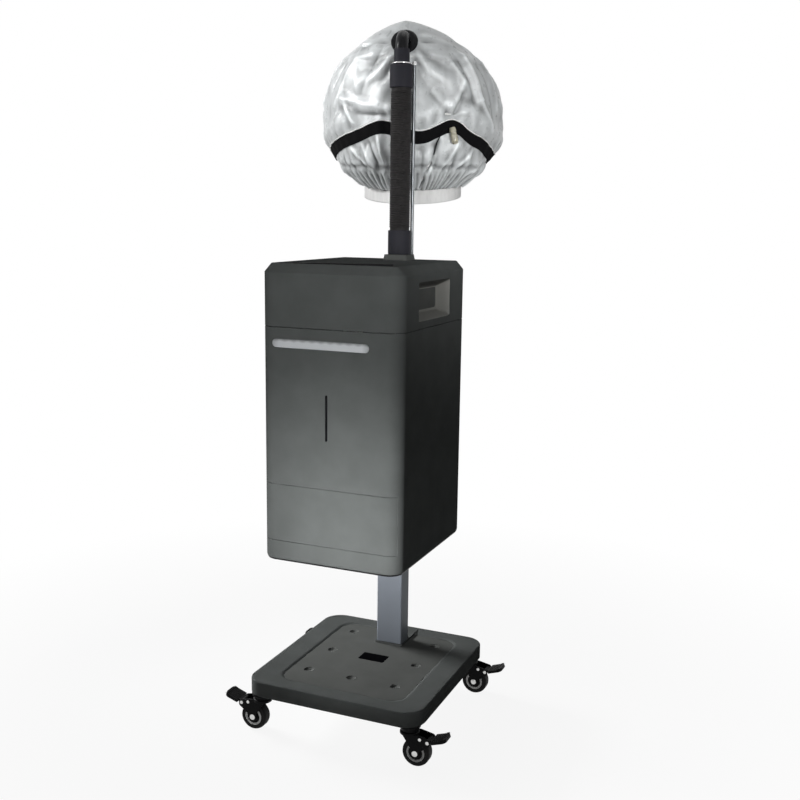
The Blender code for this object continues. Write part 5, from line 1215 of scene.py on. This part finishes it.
def hood_section(level, inset=0.0):
    """Radius, middle and slope of the hood at a level."""
    belly = HOOD_RADIUS - inset
    peak = HOOD_PEAK - inset
    if level >= HOOD_BELLY:
        rise = min(1.0, (level - HOOD_BELLY) / (peak - HOOD_BELLY))
        radius = belly * (1 - rise * rise) ** HOOD_CROWN_POWER
        lean = max(0.0, level - HOOD_LEAN_START) * math.tan(HUB_LEAN)
        return radius, HOOD_FRONT_GAP + inset + lean + radius, 0.0
    drop = min(1.0, (HOOD_BELLY - level) / HOOD_DROP)
    radius = belly - (HOOD_RADIUS - HOOD_HEM_RADIUS) * drop ** HOOD_SKIRT_POWER
    return radius, HOOD_FRONT_GAP + HOOD_RADIUS, HOOD_HEM_SLOPE * drop


def hood_point(angle, level, inset=0.0, out=0.0, below=0.0):
    """Point on the hood, in the hood's own frame, stood off its surface by out."""
    radius, middle, slope = hood_section(level, inset)
    along = (radius + out) * math.cos(angle)
    return Vector((middle + along, (radius + out) * math.sin(angle), level + slope * along - below))


def hood_normal(angle, level):
    """Outward direction of the hood's plain form."""
    turn, step = 0.01, 0.0005
    around = hood_point(angle + turn, level) - hood_point(angle - turn, level)
    upward = hood_point(angle, level) - hood_point(angle, level - step)
    return around.cross(upward).normalized()


def strap_level(angle):
    """Middle of the strap: low behind, high in front, with the waves it is pulled into there."""
    level = HOOD_BELLY - STRAP_BELOW_BELLY + STRAP_FRONT_RISE * max(0.0, -math.cos(angle)) ** STRAP_RISE_POWER
    degrees = math.degrees(angle) % 360.0
    for height, at in STRAP_WAVES:
        level += height * math.exp(-((degrees - at) / STRAP_WAVE_SPREAD) ** 2)
    return level


def smooth_step(value, low, high):
    share = min(1.0, max(0.0, (value - low) / (high - low)))
    return share * share * (3 - 2 * share)


def fold_lift(angle, rise):
    """Height of the drawn folds at a place on the cloth. They come round three times, lower behind."""
    degrees = math.degrees(angle) % 360.0
    lift = 0.0
    for first, first_rise, last, last_rise, spread, height in FOLDS:
        middle = (first + last) / 2
        swing = (degrees - middle + FOLD_REPEAT / 2) % FOLD_REPEAT - FOLD_REPEAT / 2
        reach = math.degrees(4 * spread / FOLD_RADIUS) + abs(last - first) / 2
        if abs(swing) > reach:
            continue
        start = Vector((math.radians(first - middle) * FOLD_RADIUS, first_rise))
        line = Vector((math.radians(last - first) * FOLD_RADIUS, last_rise - first_rise))
        here = Vector((math.radians(swing) * FOLD_RADIUS, rise)) - start
        share = min(1.0, max(0.0, here.dot(line) / line.length_squared))
        here_height = height if abs(degrees - middle) < FOLD_REPEAT / 2 else 0.5 * height
        lift += here_height * math.exp(-((here - line * share).length / spread) ** 1.2)
    return lift


def crumple(spot):
    """Flat facets with crisp edges, large and small, as in creased foil."""
    lift = 0.0
    for across, up, height in ((9.0, 6.0, 0.0120), (22.0, 13.0, 0.0048)):
        place = Vector((spot.x * across, spot.y * across, spot.z * up))
        near, far = noise.voronoi(place)[0][:2]
        lift += (min(far - near, 0.45) - 0.2) * height
    return lift


def spoke_lift(spot):
    """Ripples that run out from the neck plate."""
    rise = spot.z - HUB.z
    reach = math.hypot(spot.x - HUB.x, spot.y, rise)
    swing = math.atan2(spot.y, math.copysign(math.hypot(spot.x - HUB.x, rise), rise))
    fade = smooth_step(reach, 0.028, 0.055) * (1 - smooth_step(reach, 0.09, 0.20))
    return math.cos(11 * swing + 3 * noise.noise(spot * 12.0)) * 0.0030 * fade


def hood_relief(angle, level):
    """How far the cloth stands off its plain form: gathers, strap pinch, folds and loose cloth."""
    rise = level - HOOD_BELLY
    drop = max(0.0, -rise / HOOD_DROP)
    turn = Vector((math.cos(angle), math.sin(angle), 0.0))
    spot = hood_point(angle, level)
    drift = noise.noise(turn * 2.3 + Vector((0, 0, 5.0))) * 0.10 + noise.noise(turn * 7.0) * 0.03
    uneven = 0.8 + 0.7 * noise.noise(turn * 9.0 + Vector((0, 0, 9.0)))
    ruffle = (abs(math.cos(HEM_PLEATS / 2 * (angle + drift))) ** 0.8 - 0.6) * 0.0075 * uneven
    tuck = (abs(math.cos(HEM_PLEATS / 4 * (angle + drift))) ** 0.8 - 0.6) * 0.0070 * uneven
    gathers = ruffle * smooth_step(drop, 0.66, 0.82) + tuck * smooth_step(drop, 0.40, 0.66) * (
        1 - 0.6 * smooth_step(drop, 0.66, 0.85))
    elastic = -0.0040 * math.exp(-((level - HOOD_ELASTIC) / 0.0045) ** 2)
    away = (level - strap_level(angle)) / STRAP_HEIGHT
    under = math.exp(-(away * 1.3) ** 4)
    pinch = -0.0050 * math.exp(-(away * 0.9) ** 2)
    bulge = math.exp(-((away - 1.7) / 0.8) ** 2) + 0.5 * math.exp(-((away + 1.6) / 0.7) ** 2)
    pucker = math.cos(46 * (angle + drift * 0.4)) * (
        math.exp(-((away - 0.9) * 1.2) ** 2) + math.exp(-((away + 0.9) * 1.2) ** 2))
    loose = noise.fractal(spot * 9.0, 1.0, 2.0, 3) * 0.0040
    seam = -0.0016 * math.exp(-((rise - CROWN_SEAM) / 0.0022) ** 2)
    slack = 0.45 + 0.55 * math.exp(-(away / 2.5) ** 2) + 0.3 * drop
    free = (1 - under) * smooth_step(HOOD_PEAK - level, 0.004, 0.05)
    return (gathers + elastic + pinch + 0.005 * bulge + 0.0012 * pucker + seam
            + (loose + crumple(spot) * slack + fold_lift(angle, rise) + spoke_lift(spot)) * free)


def cloth_mesh(columns, rows, level_at, relief, inset=0.0, below=None, peaked=True):
    """Open sheet over the hood's form with a UV map in metres of cloth.

    Its lift attribute says how far each place stands above the cloth around it."""
    points = []
    heights = []
    for row in range(rows):
        hang = below(row) if below else 0.0
        for column in range(columns):
            angle = math.tau * column / columns
            level = level_at(angle, row)
            plain = hood_point(angle, level, inset, below=hang)
            heights.append(relief(angle, level, row))
            points.append(plain + hood_normal(angle, level) * heights[-1])
    faces = []
    last = (rows - 1) * columns
    for column in range(columns):
        far = (column + 1) % columns
        for start in range(0, last, columns):
            above = start + columns
            faces.append((start + column, start + far, above + far, above + column))
        if peaked:
            faces.append((last + column, last + far, len(points)))
    reach_across = round(columns * LIFT_REACH / (math.tau * HOOD_RADIUS))
    reach_up = 4
    lifts = []
    for place, height in enumerate(heights):
        row, column = divmod(place, columns)
        sides = (column - reach_across, column + reach_across)
        around = [heights[row * columns + side % columns] for side in sides]
        around.append(heights[min(rows - 1, row + reach_up) * columns + column])
        around.append(heights[max(0, row - reach_up) * columns + column])
        lifts.append(height - sum(around) / 4)
    if peaked:
        points.append(hood_point(0.0, HOOD_PEAK - inset, inset))
        lifts.append(0.0)
    mesh = shape_of(points, faces)
    mesh.attributes.new("lift", "FLOAT", "POINT").data.foreach_set("value", lifts)
    layer = mesh.uv_layers.new(name="cloth")
    for face in mesh.polygons:
        for corner in face.loop_indices:
            row, column = divmod(mesh.loops[corner].vertex_index, columns)
            if column < face.vertices[0] % columns:
                column += columns
            layer.data[corner].uv = (column / columns * math.tau * HOOD_RADIUS, row * 0.003)
    return mesh


def cloth_point(angle, level, out=0.0):
    """Point on the creased cloth, stood off it by out."""
    return hood_point(angle, level) + hood_normal(angle, level) * (hood_relief(angle, level) + out)


def crown_levels(inset, count):
    peak = HOOD_PEAK - inset
    return [HOOD_BELLY + (peak - HOOD_BELLY) * math.sin(math.pi / 2 * step / count) for step in range(count)]


def finished_sheet(name, mesh, finish, thickness, nodes):
    """Cloth piece with its thickness."""
    mesh.transform(HOOD_SEAT)
    mesh.materials.append(finish.material)
    mesh.shade_smooth()
    piece = mounted(name, mesh, "hood", nodes, finish)
    change = piece.modifiers.new("cloth", "SOLIDIFY")
    change.thickness = thickness
    change.offset = -1.0


def make_hood():
    """Crown and skirt of silver cloth, the lining in them and the hoop that holds them open."""
    side_rows, crown_rows, skirt_rows = 34, 66, 52
    tops = crown_levels(0.0, crown_rows)
    hem = HOOD_BELLY - HOOD_DROP

    def crown_level(angle, row):
        foot = strap_level(angle) - STRAP_LAP
        return foot + (HOOD_BELLY - foot) * row / side_rows if row < side_rows else tops[row - side_rows]

    def crown_relief(angle, level, row):
        return hood_relief(angle, level)

    crown = cloth_mesh(360, side_rows + crown_rows, crown_level, crown_relief)
    finished_sheet("silver_crown", crown, SILVER_CLOTH, 0.0012, ["hood_shell"])

    def skirt_level(angle, row):
        head = strap_level(angle) + STRAP_LAP
        return hem + (head - hem) * row / (skirt_rows - 1)

    def skirt_relief(angle, level, row):
        return hood_relief(angle, level) - 0.0014 * smooth_step(row, skirt_rows - 6, skirt_rows - 1)

    skirt = cloth_mesh(720, skirt_rows, skirt_level, skirt_relief, peaked=False)
    finished_sheet("silver_skirt", skirt, SILVER_CLOTH, 0.0012, [])
    seam = [cloth_point(math.tau * step / 240, HOOD_BELLY + CROWN_SEAM, 0.0005) for step in range(240)]
    threads = stitches("crown_stitches", seam, CORD_GREY, 0.0048, 0.0034, 0.0008)
    place("crown_stitching", settled([(threads, CORD_GREY)], HOOD_SEAT), "hood", smooth=60.0)

    hem_rows, lining_skirt, lining_crown = 10, 40, 40
    levels = [hem] * hem_rows
    levels += [HOOD_BELLY - HOOD_DROP * (1 - step / lining_skirt) for step in range(lining_skirt)]
    levels += crown_levels(LINING_INSET, lining_crown)

    def lining_level(angle, row):
        return levels[row]

    def lining_relief(angle, level, row):
        share = smooth_step(row, hem_rows + 4, hem_rows + 22)
        return hood_relief(angle, level) * 0.6 * share - 0.0030 * share - 0.0040 * (1 - share)

    def lining_hang(row):
        return LINING_DROP * max(0.0, 1 - row / hem_rows)

    lining = cloth_mesh(320, len(levels), lining_level, lining_relief, LINING_INSET, lining_hang)
    finished_sheet("hood_inner", lining, WHITE_CLOTH, 0.0010, ["hood_lining"])

    hoop = level_ring(circle(0.2092, (HOOD_FRONT_GAP + HOOD_RADIUS, 0.0), 120), HOOD_BELLY)
    hoop = moved(tube(hoop, 0.0025, 3, True), HOOD_SEAT)
    place("sprung_hoop", [(hoop, STEEL)], "hood", ["hood_hoop"])


def make_neck():
    """Bend that leads the steam in, its collar, and the plate that clamps the cloth."""
    inward = Vector((math.cos(HUB_LEAN), 0.0, -math.sin(HUB_LEAN)))
    turn = math.pi / 2 + HUB_LEAN
    straight = (HUB.x - NECK_BEND * (1 - math.cos(turn))) / math.cos(HUB_LEAN)
    spring = HUB_LEVEL - NECK_BEND * math.sin(turn) + straight * math.sin(HUB_LEAN)
    foot = UPPER_CUFF_TOP - 0.0297
    path = [Vector((0, 0, foot))]
    for step in range(25):
        angle = turn * step / 24
        path.append(Vector((NECK_BEND * (1 - math.cos(angle)), 0.0, spring + NECK_BEND * math.sin(angle))))
    path.append(HUB + inward * NECK_OUTLET)
    collar = turned(rounded([
        (0.0, foot, 0), (NECK_RADIUS, foot, 0.0006), (NECK_RADIUS, NECK_COLLAR_TOP, 0.0012),
        (ELBOW_RADIUS, NECK_COLLAR_TOP, 0), (0.0, NECK_COLLAR_TOP, 0)], 4), 64)
    parts = settled([(tube(path, ELBOW_RADIUS, 10), GLOSS_BLACK), (collar, CUFF_BLACK)], HOOD_SEAT)
    place("neck_elbow", parts, "hood", ["hood_elbow"], 40.0)

    half, hole = FLANGE_THICKNESS / 2, ELBOW_RADIUS + 0.0004
    plate = turned(rounded([
        (hole, -half, 0), (PLATE_RADIUS, -half, 0.0004), (PLATE_RADIUS, half * 0.2, 0.0014),
        (PLATE_RADIUS - 0.004, half, 0.0020), (hole, half, 0.0003)], 5), 72)
    tilt = Matrix.Rotation(HUB_LEAN - math.pi / 2, 4, "Y")
    seat = HOOD_SEAT @ Matrix.Translation(HUB - inward * (half + 0.0005)) @ tilt
    place("neck_plate", [(moved(plate, seat), GLOSS_BLACK)], "hood", ["hood_flange"], 30.0)


def band_point(angle, lift, out):
    """Point across the strap: lift is minus one on its lower edge and one on its upper."""
    return cloth_point(angle, strap_level(angle) + lift * STRAP_HEIGHT / 2, out)


def make_toggle():
    """Cord lock on the strap, and the end of the drawcord that hangs from it."""
    def spot(degrees, rise, out):
        return HOOD_SEAT @ cloth_point(math.radians(degrees), HOOD_BELLY + rise, out)

    low, high = spot(211.6, -0.0520, 0.0095), spot(209.4, -0.0240, 0.0095)
    length = (high - low).length
    profile = [
        (0.0, 0.0, 0), (0.0058, 0.0, 0.0014), (0.0078, 0.16, 0.0030), (0.0080, 0.50, 0.0030),
        (0.0066, 0.60, 0.0012), (0.0066, 0.70, 0.0012), (0.0078, 0.76, 0.0020), (0.0066, 1.0, 0.0024),
        (0.0, 1.0, 0)]
    barrel = turned(rounded([(radius, share * length, soft) for radius, share, soft in profile], 4), 36)
    stand = Matrix.Translation(low) @ (high - low).to_track_quat("Z", "Y").to_matrix().to_4x4()
    place("cord_lock", [(moved(barrel, stand), TOGGLE_AMBER)], "hood")

    stops = (
        (207.0, -0.0275, 0.0060), (205.0, -0.0300, 0.0042), (203.0, -0.0380, 0.0038),
        (201.8, -0.0480, 0.0036), (201.1, -0.0600, 0.0030), (200.2, -0.0760, 0.0026))
    path = []
    for start, end in zip(stops, stops[1:]):
        for step in range(6):
            path.append(spot(*[a + (b - a) * (step / 6) for a, b in zip(start, end)]))
    path.append(spot(*stops[-1]))
    length = sum((b - a).length for a, b in zip(path, path[1:]))
    cord = place("drawcord", [(tube(path, DRAWCORD / 2, 3), CORD_BLACK)], "hood", smooth=60.0)
    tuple(path[0])


def make_strap():
    columns = 320
    section = (
        (-1.0, 0.0004), (-1.0, 0.0014), (-0.9, 0.0019), (-0.3, 0.0020), (0.3, 0.0020), (0.9, 0.0019),
        (1.0, 0.0014), (1.0, 0.0004))
    angles = [math.tau * column / columns for column in range(columns)]
    mesh = tidy(skin([[band_point(angle, lift, out) for lift, out in section] for angle in angles], True))
    layer = mesh.uv_layers.new(name="cloth")
    for loop in mesh.loops:
        spot = mesh.vertices[loop.vertex_index].co
        angle = math.atan2(spot.y, spot.x - HOOD_FRONT_GAP - HOOD_RADIUS)
        layer.data[loop.index].uv = (angle * HOOD_RADIUS, spot.z)
    place("hood_band", [(moved(mesh, HOOD_SEAT), BLACK_WEBBING)], "hood", ["hood_strap"], 50.0)

    # White cord along the strap's upper edge: a painted highlight on the cloth there, made as piping.
    highlight_piping = tube([band_point(angle, 1.05, 0.0016) for angle in angles], 0.0014, 2, True)
    place("band_piping", [(moved(highlight_piping, HOOD_SEAT), WHITE_CLOTH)], "hood")
    threads = []
    for lift in (-0.78, 0.78):
        line = [band_point(angle, lift, 0.0022) for angle in angles]
        threads.append((stitches("band_stitches", line, CORD_BLACK, 0.0052, 0.0036, 0.0007), CORD_BLACK))
    place("band_stitching", settled(threads, HOOD_SEAT), "hood", smooth=60.0)
    make_toggle()


def make_stage():
    reach = 60.0
    floor = shape_of(
        [(-reach, -reach, 0), (reach, -reach, 0), (reach, reach, 0), (-reach, reach, 0)], [(0, 1, 2, 3)])
    surface = Finish("floor_paint", (0.62, 0.62, 0.62), 0.80, shine=0.0)
    surface.set("Base Color", surface.tint(surface.grain(0.50), (0.61, 0.61, 0.61), (0.63, 0.63, 0.63)))
    bright = surface.node("ShaderNodeEmission", None, {"Color": (1, 1, 1, 1), "Strength": 1.0})
    away = surface.node("ShaderNodeVectorMath", {"operation": "LENGTH"}, {0: surface.here()}, "Value")
    share = surface.spread(away, 0.3, 1.6, 0.90, 1.0)
    mixed = surface.node("ShaderNodeMixShader", None, {
        0: studio_rays(surface) * share, 1: Value(surface, surface.shader.outputs[0]), 2: bright})
    surface.feed(surface.tree.nodes["Material Output"].inputs["Surface"], mixed)
    floor.materials.append(surface.material)
    hold(floor, "floor")


def studio_rays(graph):
    """One for rays that the camera, a mirror or a glass sends out."""
    rays = graph.node("ShaderNodeLightPath", output="Is Camera Ray")
    return graph.node("ShaderNodeMath", {"operation": "ADD", "use_clamp": True}, {
        0: rays + rays.beside("Is Glossy Ray"), 1: rays.beside("Is Transmission Ray")})


def make_world():
    world = bpy.data.worlds.new("studio")
    scene.world = world
    world.use_nodes = True
    graph = Graph(world.node_tree)
    world.node_tree.nodes.clear()
    fill = graph.node("ShaderNodeBackground", None, {"Color": (1, 1, 1, 1), "Strength": 0.08})
    white = graph.node("ShaderNodeBackground", None, {"Color": (1, 1, 1, 1), "Strength": 1.0})
    both = graph.node("ShaderNodeMixShader", None, {0: studio_rays(graph), 1: fill, 2: white})
    end = world.node_tree.nodes.new("ShaderNodeOutputWorld")
    graph.feed(end.inputs["Surface"], both)


def add_light(name, at, target, size, power, spread=180.0):
    lamp = bpy.data.lights.new(name, "AREA")
    lamp.shape = "RECTANGLE"
    lamp.size, lamp.size_y = size
    lamp.energy = power
    lamp.spread = math.radians(spread)
    holder = hold(lamp, name)
    holder.location = at
    holder.rotation_euler = (Vector(target) - Vector(at)).to_track_quat("-Z", "Y").to_euler()


def make_lights():
    hood_crown = (-0.055, 0.352, 1.46)
    hood_foot = (-0.03, 0.30, 1.28)
    add_light("key", (-1.45, -0.70, 2.00), hood_crown, (0.4, 0.4), 1.65, 36.0)
    add_light("hood_fill", (1.3, -1.0, 1.30), hood_foot, (0.4, 0.4), 0.84, 33.0)
    add_light("fill", (0.08, -2.0, 1.0), (0.0, 0.0, 0.88), (0.4, 0.4), 0.95, 40.0)
    add_light("front", (0.12, -1.70, 0.42), (0.05, -0.2775, 0.47), (0.20, 0.08), 1.20, 30.0)
    add_light("crown", (0.2, 0.5, 3.2), (0.0, 0.2, 1.4), (1.2, 1.2), 7.0)
    add_light("rake", (-1.5, 0.3, 0.75), (0.0, 0.0, 0.12), (0.8, 0.2), 3.4, 40.0)


def make_camera():
    yaw, pitch, roll = math.radians(22.91), math.radians(10.156), math.radians(0.770)
    ahead = Vector((-math.sin(yaw) * math.cos(pitch), math.cos(yaw) * math.cos(pitch), -math.sin(pitch)))
    right = Vector((math.cos(yaw), math.sin(yaw), 0.0))
    up = right.cross(ahead)
    level_right = right * math.cos(roll) + up * math.sin(roll)
    level_up = up * math.cos(roll) - right * math.sin(roll)
    lens = bpy.data.cameras.new("photo_view")
    lens.sensor_width = 36.0
    lens.lens = 47.0
    scene.camera = hold(lens, "photo_view")
    columns = (level_right, level_up, -ahead, Vector((0.9556, -2.1034, 1.1569)))
    rows = [[column[axis] for column in columns] for axis in range(3)]
    scene.camera.matrix_world = Matrix(rows + [[0.0, 0.0, 0.0, 1.0]])


def dress_inner_nodes():
    """CAD nodes that keep their own shape take the finish of their slot."""
    kept = {
        "base_ballast": STEEL, "control_board": BOARD_GREEN, "drawer_tray": TRIM_GREY, "drawer_deck": STEEL,
        "water_tank": TANK_PLASTIC, "tank_cap": BLACK, "equipment_shelf": STEEL, "boiler": STEEL,
        "steam_duct": SILICONE, "blower_housing": BLACK, "fan_motor": STEEL, "fan_wheel": BLACK,
        "water_pump": BLACK, "rocker_switch": BLACK}
    for node, finish in kept.items():
        piece = bpy.data.objects[node]
        piece.data.materials.clear()
        piece.data.materials.append(finish.material)


make_camera()
make_world()
make_lights()
make_stage()
make_base()
make_column()
make_casters()
make_cabinet()
make_top()
make_back()
make_hose()
make_hood()
make_neck()
make_strap()
dress_inner_nodes()
